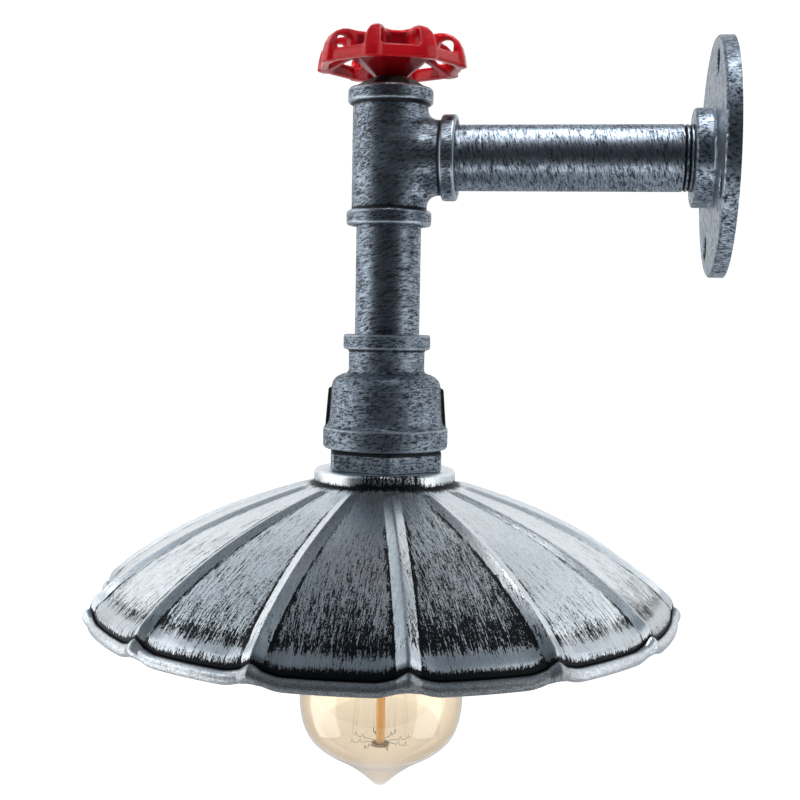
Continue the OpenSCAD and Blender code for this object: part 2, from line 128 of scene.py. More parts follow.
def revolve(name, prof, seg, mats, x=DX, y=0.0, axis="Z", closed=True, origin=0.0):
    """Closed profile of (r, h) turned about an axis. Points on the axis become poles."""
    verts, faces = [], []
    rows = []
    for r, h in prof:
        if r < 1e-6:
            rows.append([len(verts)] * seg)
            verts.append((0, 0, h))
        else:
            base = len(verts)
            rows.append([base + i for i in range(seg)])
            for i in range(seg):
                a = TAU * i / seg
                verts.append((r * math.cos(a), r * math.sin(a), h))
    n = len(rows)
    for j in range(n if closed else n - 1):
        A, B = rows[j], rows[(j + 1) % n]
        if A[0] == A[1] and B[0] == B[1]:
            continue
        for i in range(seg):
            k = (i + 1) % seg
            if A[0] == A[1]:
                faces.append((A[0], B[i], B[k]))
            elif B[0] == B[1]:
                faces.append((A[i], B[0], A[k]))
            else:
                faces.append((A[i], B[i], B[k], A[k]))
    out = []
    for a, b, h in verts:
        if axis == "Z":
            out.append((x + a, y + b, h + origin))
        else:
            out.append((h + origin, a, b))
    return link(name, out, faces, mats)


# ---------------------------------------------------------------------------
# materials
# ---------------------------------------------------------------------------


class Tree:
    def __init__(self, name):
        self.m = bpy.data.materials.new(name)
        self.m.use_nodes = True
        self.t = self.m.node_tree
        self.b = self.t.nodes["Principled BSDF"]

    def n(self, kind, **kw):
        node = self.t.nodes.new(kind)
        for k, v in kw.items():
            setattr(node, k, v)
        return node

    def ln(self, a, b):
        self.t.links.new(a, b)

    def math(self, op, a, b=None, clamp=False):
        node = self.n("ShaderNodeMath", operation=op, use_clamp=clamp)
        for i, v in enumerate((a, b)):
            if v is None:
                continue
            if isinstance(v, (int, float)):
                node.inputs[i].default_value = v
            else:
                self.ln(v, node.inputs[i])
        return node.outputs[0]

    def coords(self):
        return self.n("ShaderNodeTexCoord").outputs["Object"]

    def mapped(self, vec, scale=(1, 1, 1), loc=(0, 0, 0), rot=(0, 0, 0)):
        node = self.n("ShaderNodeMapping")
        node.inputs["Location"].default_value = loc
        node.inputs["Rotation"].default_value = rot
        node.inputs["Scale"].default_value = scale
        self.ln(vec, node.inputs["Vector"])
        return node.outputs[0]

    def noise(self, vec, scale, detail=4.0, rough=0.55, dist=0.0):
        node = self.n("ShaderNodeTexNoise")
        node.inputs["Scale"].default_value = scale
        node.inputs["Detail"].default_value = detail
        node.inputs["Roughness"].default_value = rough
        node.inputs["Distortion"].default_value = dist
        self.ln(vec, node.inputs["Vector"])
        return node.outputs["Fac"]

    def voronoi(self, vec, scale, feature="F1"):
        node = self.n("ShaderNodeTexVoronoi", feature=feature)
        node.inputs["Scale"].default_value = scale
        self.ln(vec, node.inputs["Vector"])
        return node.outputs["Distance"]

    def ramp(self, fac, stops, mode="LINEAR"):
        node = self.n("ShaderNodeValToRGB")
        e = node.color_ramp.elements
        node.color_ramp.interpolation = mode
        while len(e) < len(stops):
            e.new(0.5)
        for el, (p, c) in zip(e, stops):
            el.position = p
            el.color = (*c, 1) if len(c) == 3 else c
        self.ln(fac, node.inputs[0])
        return node.outputs[0]

    def step(self, fac, a, b):
        node = self.n("ShaderNodeMapRange", interpolation_type="SMOOTHSTEP")
        node.inputs["From Min"].default_value = a
        node.inputs["From Max"].default_value = b
        self.ln(fac, node.inputs["Value"])
        return node.outputs[0]

    def range(self, fac, a, b, c, d):
        node = self.n("ShaderNodeMapRange")
        for k, v in zip(("From Min", "From Max", "To Min", "To Max"), (a, b, c, d)):
            node.inputs[k].default_value = v
        self.ln(fac, node.inputs["Value"])
        return node.outputs[0]

    def mix(self, fac, a, b, blend="MIX"):
        node = self.n("ShaderNodeMix", data_type="RGBA", blend_type=blend)
        for sock, v in ((node.inputs[0], fac), (node.inputs[6], a), (node.inputs[7], b)):
            if isinstance(v, (int, float)):
                sock.default_value = v
            elif isinstance(v, tuple):
                sock.default_value = (*v, 1) if len(v) == 3 else v
            else:
                self.ln(v, sock)
        return node.outputs[2]

    def attr(self, name):
        return self.n("ShaderNodeAttribute", attribute_name=name)

    def curve(self, fac, lo, hi, pts):
        """Value read off straight lines through pts (x from lo to hi, y from 0 to 1)."""
        node = self.n("ShaderNodeFloatCurve")
        cv = node.mapping.curves[0]
        for i, (x, y) in enumerate(pts):
            u = (x - lo) / (hi - lo)
            if i == 0:
                cv.points[0].location = (u, y)
            elif i == len(pts) - 1:
                cv.points[-1].location = (u, y)
            else:
                cv.points.new(u, y)
        for pnt in cv.points:
            pnt.handle_type = "VECTOR"
        node.mapping.update()
        self.ln(self.range(fac, lo, hi, 0.0, 1.0), node.inputs["Value"])
        return node.outputs[0]

    def bump(self, height, strength, dist, prev=None):
        node = self.n("ShaderNodeBump")
        node.inputs["Strength"].default_value = strength
        node.inputs["Distance"].default_value = dist
        self.ln(height, node.inputs["Height"])
        if prev is not None:
            self.ln(prev, node.inputs["Normal"])
        return node.outputs[0]

    def out(self, sock, value):
        s = self.b.inputs[sock]
        if isinstance(value, (int, float, tuple)):
            s.default_value = value if not isinstance(value, tuple) else ((*value, 1) if len(value) == 3 else value)
        else:
            self.ln(value, s)


NAVY = (0.0060, 0.0080, 0.0120)
SLATE = (0.040, 0.049, 0.062)
STEEL = (0.176, 0.214, 0.262)
BRIGHT = (0.375, 0.43, 0.485)


def brushed_silver(name, axis="Z", cover=0.5, stroke=(0.5, 2.6), patch=9.0, lean=12.0, edge=1.0, seed=0.0, tone=1.0, rough=(0.55, 0.36), holes=None, grooves=None):
    """Black coat dry-brushed with silver. Strokes run round the axis: short along it, long across it.
    cover is the share of silver, stroke the width and length of a bristle mark in mm, lean the slant
    of the strokes in degrees, edge how much the brush caught the edges and missed the corners (the
    castings carry their curvature in mm-1 as edge)."""
    t = Tree(name)
    co = t.coords()
    w, l = 1000.0 / stroke[0], 1000.0 / stroke[1]
    sc = {"X": (w, l, l), "Y": (l, w, l), "Z": (l, l, w)}[axis]
    off = (seed * 0.013, seed * 0.017, seed * 0.007)
    a, b = math.radians(lean), math.radians(lean * 0.5)
    first = t.mapped(t.mapped(co, loc=off, rot=(0, a, 0)), sc)
    other = t.mapped(t.mapped(co, loc=off[::-1], rot=(b, b, 0)), tuple(0.55 * k for k in sc))
    s1 = t.noise(first, 1.0, 3.0, 0.60, 0.5)
    s2 = t.noise(other, 1.0, 3.0, 0.60, 0.6)
    blot = t.noise(t.mapped(co, (1000 / patch,) * 3, off), 1.0, 3.0, 0.6)
    grain = t.noise(t.mapped(co, (1500,) * 3, off), 1.0, 3.0, 0.65)
    f = t.math("ADD", t.math("MULTIPLY", s1, 0.62), t.math("MULTIPLY", s2, 0.38))
    f = t.math("ADD", t.math("MULTIPLY", t.math("SUBTRACT", f, 0.5), 1.5), 0.5)
    f = t.math("ADD", f, t.math("MULTIPLY", t.math("SUBTRACT", blot, 0.5), 0.26))
    f = t.math("ADD", f, t.math("MULTIPLY", t.math("SUBTRACT", grain, 0.5), 0.45))
    f = t.math("ADD", f, cover - 0.5)
    if edge:
        k = t.attr("edge").outputs["Fac"]
        f = t.math("ADD", f, t.math("MULTIPLY", t.step(k, 0.22, 0.75), 0.20 * edge))
        f = t.math("SUBTRACT", f, t.math("MULTIPLY", t.step(k, -0.08, -0.45), 0.42 * edge))
    if holes:
        # four holes on a circle about X hold the black coat
        pcd, turn, hr = holes
        sep = t.n("ShaderNodeSeparateXYZ")
        t.ln(t.mapped(co, (1000, 1000, 1000), rot=(math.radians(-turn), 0, 0)), sep.inputs[0])
        py, pz = t.math("ABSOLUTE", sep.outputs["Y"]), t.math("ABSOLUTE", sep.outputs["Z"])
        far, near = t.math("MAXIMUM", py, pz), t.math("MINIMUM", py, pz)
        far = t.math("SUBTRACT", far, pcd / 2)
        off2 = t.math("ADD", t.math("MULTIPLY", far, far), t.math("MULTIPLY", near, near))
        f = t.math("SUBTRACT", f, t.math("MULTIPLY", t.step(off2, (hr + 1.0) ** 2, (hr + 0.2) ** 2), 0.5))
    if grooves:
        # the brush passed over the thread's grooves, which keep the black coat
        sep = t.n("ShaderNodeSeparateXYZ")
        t.ln(t.mapped(co, (1000, 1000, 1000)), sep.inputs[0])
        rr = t.math("ADD", t.math("MULTIPLY", sep.outputs["Y"], sep.outputs["Y"]), t.math("MULTIPLY", sep.outputs["Z"], sep.outputs["Z"]))
        f = t.math("SUBTRACT", f, t.math("MULTIPLY", t.step(rr, (grooves - 0.10) ** 2, (grooves - 0.26) ** 2), 0.6))
    col = t.ramp(f, [(0.36, NAVY), (0.44, SLATE), (0.53, tuple(tone * k for k in STEEL)), (0.74, tuple(tone * k for k in BRIGHT))])
    t.out("Base Color", col)
    t.out("Metallic", t.range(f, 0.38, 0.50, 0.30, 1.0))
    t.out("Roughness", t.range(f, 0.34, 0.64, *rough))
    h = t.math("ADD", t.math("MULTIPLY", f, 0.7), t.math("MULTIPLY", grain, 0.3))
    t.ln(t.bump(h, 0.28, 0.00014), t.b.inputs["Normal"])
    return t.m


def shade_silver(name):
    """Bright silver over black on the shade, brushed down each panel. The mesh carries where each point
    lies on its panel in mm (brush), how far it is from a rib crest in rib half-widths (ribq) and how far
    down the sheet it is: 0 at the collar, 1 in the groove, up to 2 round the bead, below 0 on the collar
    and 3 on the inside (down)."""
    t = Tree(name)
    br = t.attr("brush").outputs["Vector"]
    q = t.attr("ribq").outputs["Fac"]
    dn = t.attr("down").outputs["Fac"]
    co = t.coords()
    s1 = t.noise(t.mapped(br, (2.6, 0.26, 1)), 1.0, 4.0, 0.66, 0.35)
    s2 = t.noise(t.mapped(br, (0.95, 0.085, 1), (7, 3, 0)), 1.0, 3.0, 0.6, 0.4)
    s3 = t.noise(t.mapped(br, (2.2, 1.1, 1), (1, 9, 0)), 1.0, 3.0, 0.62, 0.3)
    blot = t.noise(t.mapped(co, (26, 26, 26), (2, 7, 1)), 1.0, 3.0, 0.55)
    fine = t.noise(t.mapped(co, (2600, 2600, 2600)), 1.0, 2.0, 0.5)
    # how thick the silver lies down the sheet
    cov = t.curve(dn, -1.0, 3.0, ((-1.0, 0.66), (-0.30, 0.64), (-0.18, 0.58), (-0.09, 0.52), (-0.045, 0.45), (-0.012, 0.38), (0.010, 0.47), (0.04, 0.58), (0.14, 0.625), (0.34, 0.592), (0.55, 0.552),
                                  (0.78, 0.522), (0.865, 0.498), (0.904, 0.468), (0.920, 0.52), (0.930, 0.63), (0.950, 0.645), (0.964, 0.54), (0.980, 0.30), (1.0, 0.08),
                                  (1.07, 0.16), (1.14, 0.44), (1.22, 0.57), (1.32, 0.58), (1.42, 0.46), (1.52, 0.33), (1.64, 0.28), (2.0, 0.26), (2.6, 0.36), (3.0, 0.36)))
    v = t.math("ADD", t.math("MULTIPLY", s1, 0.46), t.math("MULTIPLY", s2, 0.30))
    v = t.math("ADD", v, t.math("MULTIPLY", s3, 0.34))
    v = t.math("ADD", v, t.math("MULTIPLY", t.math("SUBTRACT", blot, 0.5), 0.24))
    v = t.math("ADD", v, t.math("SUBTRACT", cov, 0.60))
    # painted light and shade mixed with random brushing: the per-panel silver offset is lowest on the front panels and
    # highest on the side panels
    v = t.math("ADD", v, t.math("MULTIPLY", t.attr("panel").outputs["Fac"], t.math("MULTIPLY", t.step(dn, 0.93, 0.88), t.step(dn, 0.0, 0.09))))
    # painted light and shade: away from the front the groove and bead take more and brighter silver, while the front of
    # the collar is darkened
    side_lit = t.attr("painted_side_light").outputs["Fac"]
    v = t.math("ADD", v, t.math("MULTIPLY", side_lit, t.math("MULTIPLY", t.step(dn, 0.955, 0.972), t.step(dn, 1.20, 1.12))))
    v = t.math("ADD", v, t.math("MULTIPLY", t.math("MULTIPLY", t.math("SUBTRACT", side_lit, 0.09), 1.9), t.math("MULTIPLY", t.step(dn, -0.02, -0.10), t.step(dn, -0.95, -0.68))))
    # ribs caught more silver, the corners beside them less
    on_rib = t.step(q, 1.02, 0.90)
    foot = t.math("MULTIPLY", t.step(q, 0.94, 1.04), t.step(q, 1.55, 1.12))
    low = t.math("MULTIPLY", t.step(dn, 0.06, 0.22), t.step(dn, 1.0, 0.96))
    v = t.math("ADD", v, t.math("MULTIPLY", t.math("MULTIPLY", on_rib, low), 0.075))
    v = t.math("SUBTRACT", v, t.math("MULTIPLY", t.math("MULTIPLY", foot, low), 0.085))
    m = t.step(v, 0.455, 0.505)
    along = t.noise(t.mapped(br, (0.30, 3.2, 1), (5, 1, 0)), 1.0, 3.0, 0.6, 0.3)
    rub = t.curve(dn, 1.0, 2.0, ((1.0, 0.0), (1.06, 0.10), (1.13, 0.50), (1.20, 0.62), (1.34, 0.55), (1.50, 0.42), (1.64, 0.28), (1.80, 0.14), (2.0, 0.10)))
    rub = t.math("ADD", rub, t.math("MULTIPLY", side_lit, 3.2))
    rub = t.math("ADD", rub, t.math("MULTIPLY", t.math("SUBTRACT", s3, 0.5), 1.3))
    rub = t.math("ADD", rub, t.math("MULTIPLY", t.math("SUBTRACT", along, 0.5), 1.1), True)
    bead = t.math("MULTIPLY", t.step(dn, 1.06, 1.14), t.step(dn, 2.3, 2.1))
    m = t.math("ADD", t.math("MULTIPLY", m, t.math("SUBTRACT", 1.0, bead)), t.math("MULTIPLY", rub, bead))
    s4 = t.noise(t.mapped(br, (4.2, 0.45, 1), (3, 5, 0)), 1.0, 3.0, 0.7, 0.3)
    mark = t.math("ADD", t.math("ADD", t.math("MULTIPLY", s4, 0.55), t.math("MULTIPLY", s2, 0.25)), t.math("MULTIPLY", fine, 0.20))
    silver = t.ramp(mark, [(0.36, (0.30, 0.33, 0.36)), (0.45, (0.62, 0.665, 0.70)), (0.54, (0.80, 0.84, 0.87)), (0.66, (0.92, 0.945, 0.96))])
    black = t.ramp(s3, [(0.35, (0.003, 0.004, 0.006)), (0.65, (0.010, 0.012, 0.016))])
    band = t.math("ADD", t.math("MULTIPLY", t.math("MULTIPLY", t.step(dn, 0.90, 0.925), t.step(dn, 0.985, 0.96)), 0.58), t.math("MULTIPLY", t.step(dn, 1.06, 1.16), t.math("SUBTRACT", 0.62, t.math("MULTIPLY", side_lit, 5.0))))
    silver = t.mix(band, silver, (0.34, 0.37, 0.40))
    t.out("Base Color", t.mix(m, black, silver))
    t.out("Metallic", t.range(m, 0.0, 1.0, 0.10, 1.0))
    t.out("Specular IOR Level", 0.15)
    t.out("Roughness", t.math("ADD", t.range(m, 0.0, 1.0, 0.52, 0.30), t.math("MULTIPLY", t.math("SUBTRACT", s1, 0.5), 0.30)))
    h = t.math("ADD", t.math("MULTIPLY", m, 0.55), t.math("MULTIPLY", s1, 0.45))
    t.ln(t.bump(h, 0.30, 0.00012), t.b.inputs["Normal"])
    return t.m


def enamel(name):
    t = Tree(name)
    co = t.coords()
    big = t.noise(t.mapped(co, (70, 70, 70)), 1.0, 3.0, 0.5)
    peel = t.noise(t.mapped(co, (520, 520, 520)), 1.0, 2.0, 0.5)
    pits = t.noise(t.mapped(co, (1900, 1900, 1900)), 1.0, 3.0, 0.6)
    col = t.mix(t.step(big, 0.3, 0.7), (0.52, 0.0045, 0.010), (0.66, 0.009, 0.016))
    # painted shade: round the hub, below the top of the drum, the red is darkened as if it lay in shadow
    sep = t.n("ShaderNodeSeparateXYZ")
    t.ln(co, sep.inputs[0])
    dx = t.math("SUBTRACT", sep.outputs["X"], DX / 1000.0)
    r2 = t.math("ADD", t.math("MULTIPLY", dx, dx), t.math("MULTIPLY", sep.outputs["Y"], sep.outputs["Y"]))
    painted_hub_shade = t.math("MULTIPLY", t.step(r2, 0.0195 ** 2, 0.0168 ** 2), t.step(sep.outputs["Z"], 0.0486, 0.0472))
    col = t.mix(t.math("MULTIPLY", painted_hub_shade, 0.85), col, (0.16, 0.0015, 0.004))
    t.out("Base Color", col)
    t.out("Roughness", t.range(pits, 0.3, 0.7, 0.20, 0.30))
    t.out("Specular IOR Level", 0.10)
    t.out("Coat Weight", 0.38)
    t.out("Coat Roughness", 0.05)
    h = t.math("ADD", t.math("MULTIPLY", peel, 0.8), t.math("MULTIPLY", pits, 0.2))
    t.ln(t.bump(h, 0.10, 0.0006), t.b.inputs["Normal"])
    return t.m


def metal(name, a, b, rough=(0.25, 0.45), scale=900, metallic=1.0, bump=0.15):
    t = Tree(name)
    co = t.coords()
    n1 = t.noise(t.mapped(co, (scale, scale, scale * 0.3)), 1.0, 4.0, 0.6)
    n2 = t.noise(t.mapped(co, (140, 140, 140)), 1.0, 3.0, 0.55)
    t.out("Base Color", t.mix(t.step(n2, 0.3, 0.7), a, b))
    t.out("Metallic", metallic)
    t.out("Roughness", t.range(n1, 0.3, 0.7, *rough))
    t.ln(t.bump(n1, bump, 0.0002), t.b.inputs["Normal"])
    return t.m


def edge_worn(name):
    """Black finish rubbed through to brass on the edges."""
    t = Tree(name)
    co = t.coords()
    k = t.attr("edge").outputs["Fac"]
    wear = t.noise(t.mapped(co, (420, 420, 420)), 1.0, 4.0, 0.6)
    fine = t.noise(t.mapped(co, (1500, 1500, 1500)), 1.0, 3.0, 0.6)
    m = t.step(t.math("ADD", t.math("MULTIPLY", k, 0.62), t.math("MULTIPLY", wear, 0.6)), 0.60, 0.84)
    brass = t.ramp(fine, [(0.3, (0.34, 0.20, 0.08)), (0.7, (0.62, 0.42, 0.20))])
    black = t.ramp(fine, [(0.3, (0.006, 0.006, 0.007)), (0.7, (0.022, 0.020, 0.019))])
    t.out("Base Color", t.mix(m, black, brass))
    t.out("Metallic", t.range(m, 0.0, 1.0, 0.0, 1.0))
    t.out("Specular IOR Level", 0.12)
    t.out("Roughness", t.range(wear, 0.3, 0.7, 0.36, 0.55))
    t.ln(t.bump(fine, 0.12, 0.0001), t.b.inputs["Normal"])
    return t.m


def dielectric(name, a, b, rough=(0.3, 0.5), scale=300, bump=0.1):
    t = Tree(name)
    co = t.coords()
    n1 = t.noise(t.mapped(co, (scale, scale, scale)), 1.0, 4.0, 0.6)
    n2 = t.noise(t.mapped(co, (60, 60, 60)), 1.0, 3.0, 0.55)
    t.out("Base Color", t.mix(t.step(n2, 0.3, 0.7), a, b))
    t.out("Roughness", t.range(n1, 0.3, 0.7, *rough))
    t.ln(t.bump(n1, bump, 0.0003), t.b.inputs["Normal"])
    return t.m


def glass(name, a, b, rough=0.0, ior=1.45, low=None):
    t = Tree(name)
    co = t.coords()
    n = t.noise(t.mapped(co, (22, 22, 9)), 1.0, 3.0, 0.5)
    col = t.mix(t.step(n, 0.3, 0.7), a, b)
    if low:
        # the tint lies thicker round the shoulder and leaves the tip pale
        sep = t.n("ShaderNodeSeparateXYZ")
        t.ln(co, sep.inputs[0])
        z = sep.outputs["Z"]
        col = t.mix(t.step(z, low[0] + 0.033, low[0] + 0.013), col, low[1])
        col = t.mix(t.step(z, low[0] + 0.0085, low[0] + 0.002), col, low[2])
        # at a slant the way through the tinted wall is longer
        lw = t.n("ShaderNodeLayerWeight")
        lw.inputs["Blend"].default_value = 0.5
        slant = lw.outputs["Facing"]
        col = t.mix(t.step(slant, 0.26, 0.82), col, (0.56, 0.45, 0.32))
        col = t.mix(t.step(slant, 0.78, 0.95), col, (0.16, 0.11, 0.07))
    t.out("Base Color", col)
    t.out("Roughness", rough)
    t.out("IOR", ior)
    t.out("Transmission Weight", 1.0)
    w = t.noise(t.mapped(co, (60, 60, 30)), 1.0, 2.0, 0.5)
    t.ln(t.bump(w, 0.04, 0.0008), t.b.inputs["Normal"])
    return t.m


M_FLANGE = brushed_silver("silver_flange", "Y", 0.545, (0.5, 1.6), 6.0, 22, 1.0, 1, 1.24, holes=(76.0, 22.0, 4.2))
M_ARM = brushed_silver("silver_arm", "X", 0.56, (0.5, 2.8), 9.0, 18, 0.0, 2, grooves=13.45)
M_TEE = brushed_silver("silver_tee", "Z", 0.54, (0.55, 2.0), 8.0, 16, 1.0, 3)
M_DROP = brushed_silver("silver_drop", "Z", 0.55, (0.52, 2.8), 9.0, 18, 0.0, 4)
M_BELL = brushed_silver("silver_bell", "Z", 0.55, (0.52, 2.0), 8.0, 12, 1.0, 5, 1.0, (0.62, 0.50))
M_HEX = brushed_silver("silver_hex", "Z", 0.54, (0.55, 1.6), 6.0, 10, 0.8, 6, 1.08, (0.66, 0.60))
M_RING = brushed_silver("silver_ring", "Z", 0.50, (0.6, 2.2), 8.0, 8, 0.0, 7)
M_SHADE = shade_silver("silver_shade")
M_RED = enamel("red_enamel")
M_BLACK = metal("blackened", (0.012, 0.012, 0.014), (0.035, 0.033, 0.032), (0.35, 0.6), 700, 0.6)
M_BONNET = edge_worn("blackened_brass")
M_BRASS = metal("brass", (0.62, 0.40, 0.14), (0.80, 0.56, 0.24), (0.22, 0.45))
M_WORN = metal("worn_brass", (0.30, 0.19, 0.08), (0.62, 0.44, 0.22), (0.3, 0.55), 700)
M_NICKEL = metal("lamp_cap", (0.62, 0.55, 0.42), (0.74, 0.68, 0.55), (0.2, 0.4))
M_WIRE = metal("lamp_wire", (0.040, 0.024, 0.012), (0.085, 0.055, 0.03), (0.4, 0.6), 900, 0.5)
M_FIL = metal("filament", (0.66, 0.48, 0.28), (0.80, 0.62, 0.40), (0.45, 0.6), 900, 0.3)
M_PORC = dielectric("porcelain", (0.82, 0.81, 0.78), (0.88, 0.87, 0.85), (0.12, 0.22))
M_PLASTIC = dielectric("switch_plastic", (0.74, 0.73, 0.68), (0.80, 0.79, 0.75), (0.4, 0.6))
M_INS = dielectric("black_insulator", (0.012, 0.012, 0.014), (0.03, 0.03, 0.032), (0.15, 0.3))
M_PACK = dielectric("packing", (0.02, 0.02, 0.02), (0.05, 0.05, 0.05), (0.7, 0.9), 900, 0.4)
M_BROWN = dielectric("brown_insulation", (0.14, 0.06, 0.025), (0.18, 0.08, 0.035))
M_BLUE = dielectric("blue_insulation", (0.03, 0.09, 0.34), (0.04, 0.12, 0.42))
M_GREEN = dielectric("green_insulation", (0.16, 0.30, 0.03), (0.42, 0.40, 0.03))
M_GLASS = glass("amber_glass", (0.935, 0.840, 0.705), (0.955, 0.865, 0.740), 0.0, 1.64, (-0.2652, (0.79, 0.695, 0.565), (0.82, 0.79, 0.745)))
M_STEM = glass("stem_glass", (0.97, 0.88, 0.68), (0.98, 0.91, 0.74))
M_DISC = dielectric("amber_disc", (0.34, 0.23, 0.10), (0.48, 0.36, 0.18), (0.08, 0.2), 300, 0.05)
M_ROD = dielectric("amber_rod", (0.80, 0.47, 0.15), (0.92, 0.56, 0.21), (0.1, 0.25), 200, 0.05)
# painted glow: the rod emits amber light though it is no lamp, standing in for light reaching it through the clear bulb
rod = M_ROD.node_tree.nodes["Principled BSDF"]
rod.inputs["Emission Color"].default_value = (0.62, 0.33, 0.10, 1)      # light that the clear bulb lets in
rod.inputs["Emission Strength"].default_value = 0.30

BY_NODE = {
    "wall_flange": M_FLANGE, "arm_nipple": M_ARM, "tee": M_TEE, "drop_nipple": M_DROP,
    "bell_reducer": M_BELL, "hex_nipple": M_HEX, "shade": M_SHADE, "shade_ring": M_RING,
    "lampholder_body": M_PORC, "screw_shell": M_BRASS, "centre_contact": M_BRASS,
    "live_terminal": M_BRASS, "neutral_terminal": M_BRASS, "terminal_screws": M_BRASS,
    "wire_live": M_BROWN, "wire_switched": M_BROWN, "wire_neutral": M_BLUE, "wire_earth": M_GREEN,
    "earth_lug": M_BRASS, "earth_screw": M_BRASS, "bonnet": M_BONNET, "packing_ring": M_PACK,
    "switch_housing": M_PLASTIC, "switch_contacts": M_BRASS, "switch_rotor": M_PLASTIC,
    "rotor_bridge": M_BRASS, "spindle": M_BRASS, "handwheel": M_RED, "wheel_washer": M_BRASS,
    "wheel_nut": M_BRASS, "bulb_glass": M_GLASS, "cap_shell": M_NICKEL, "cap_insulator": M_INS,
    "cap_contact": M_NICKEL, "stem_glass": M_STEM, "support_rod": M_ROD, "end_disc": M_DISC,
    "filament_hooks": M_WIRE, "filament": M_FIL, "lead_wires": M_WIRE,
}
for nm, ob in NODES.items():
    ob.data.materials.clear()
    ob.data.materials.append(BY_NODE[nm])

# ---------------------------------------------------------------------------
# shade: one sheet with fourteen raised ribs, sunk panels and a rolled rim
# ---------------------------------------------------------------------------

PANELS = 14
RIB0 = math.radians(-90 + 12.4)
HALF = math.pi / PANELS
Z_SEAT, Z_COL = -129.0, -134.7
R_COL, R_END = 29.6, 118.0


def dome(t):
    return lerp(R_COL, R_END, t), Z_COL - t * (27.5 + 3.0 * t + 13.3 * t * t)


def dome_normal(t):
    e = 1e-3
    a, b = dome(max(0, t - e)), dome(min(1, t + e))
    dr, dz = b[0] - a[0], b[1] - a[1]
    l = math.hypot(dr, dz)
    return -dz / l, dr / l


def shade_profile():
    """Section of the sheet along a rib: (r, z, normal r, normal z, rib weight, rim weight, down)."""
    P = []
    for r in (20.4, 22, 25, 27.4):
        P.append((r, Z_SEAT, 0, 1, 0, 0, -1.0))
    for k in range(7):
        a = math.radians(90 - 90 * k / 6)
        P.append((28.0 + 1.6 * math.cos(a), Z_SEAT - 1.6 + 1.6 * math.sin(a), math.cos(a), math.sin(a), 0, 0, -0.6))
    for z, dn in ((-131.3, -0.4), (-132.2, -0.25), (-133.0, -0.14), (-133.6, -0.08), (-134.0, -0.045), (-134.35, -0.02)):
        P.append((R_COL, z, 1, 0, 0, 0, dn))
    P.append((R_COL + 0.25, -134.75, 0.75, 0.66, 0, 0, 0.0))
    n = 72
    for i in range(1, n + 1):
        t = 0.012 + 0.988 * i / n
        r, z = dome(t)
        nr, nz = dome_normal(t)
        P.append((r, z, nr, nz, smooth(0.012, 0.075, t), smooth(0.90, 1.0, t), 0.95 * t))
    for r, z, dn in ((118.66, -179.35, 0.957), (119.20, -180.3, 0.966), (119.52, -181.2, 0.974), (119.66, -182.0, 0.981), (119.66, -182.6, 0.987), (119.5, -183.1, 0.994), (119.25, -183.45, 1.0)):
        P.append((r, z, 0.90, 0.43, 1, 1, dn))
    for k in range(17):
        u = k / 16
        a = math.radians(108 - 262 * u)
        P.append((120.15 + 2.45 * math.cos(a), -185.75 + 2.5 * math.sin(a), math.cos(a), math.sin(a), 1, 1, 1.02 + 0.98 * u))
    m = 40
    for i in range(m, -1, -1):
        t = 0.012 + 0.988 * i / m
        r, z = dome(t)
        nr, nz = dome_normal(t)
        P.append((min(r - 1.15 * nr, 117.2), z - 1.15 * nz, nr, nz, smooth(0.012, 0.075, t), smooth(0.90, 1.0, t), 3.0))
    P.append((28.45, -135.9, 0.7, 0.7, 0, 0, 3.0))
    for z in (-134.0, -131.4, -130.2):
        P.append((28.35, z, 1, 0, 0, 0, 3.0))
    for r in (26, 22, 20.4):
        P.append((r, -130.2, 0, 1, 0, 0, 3.0))
    return P


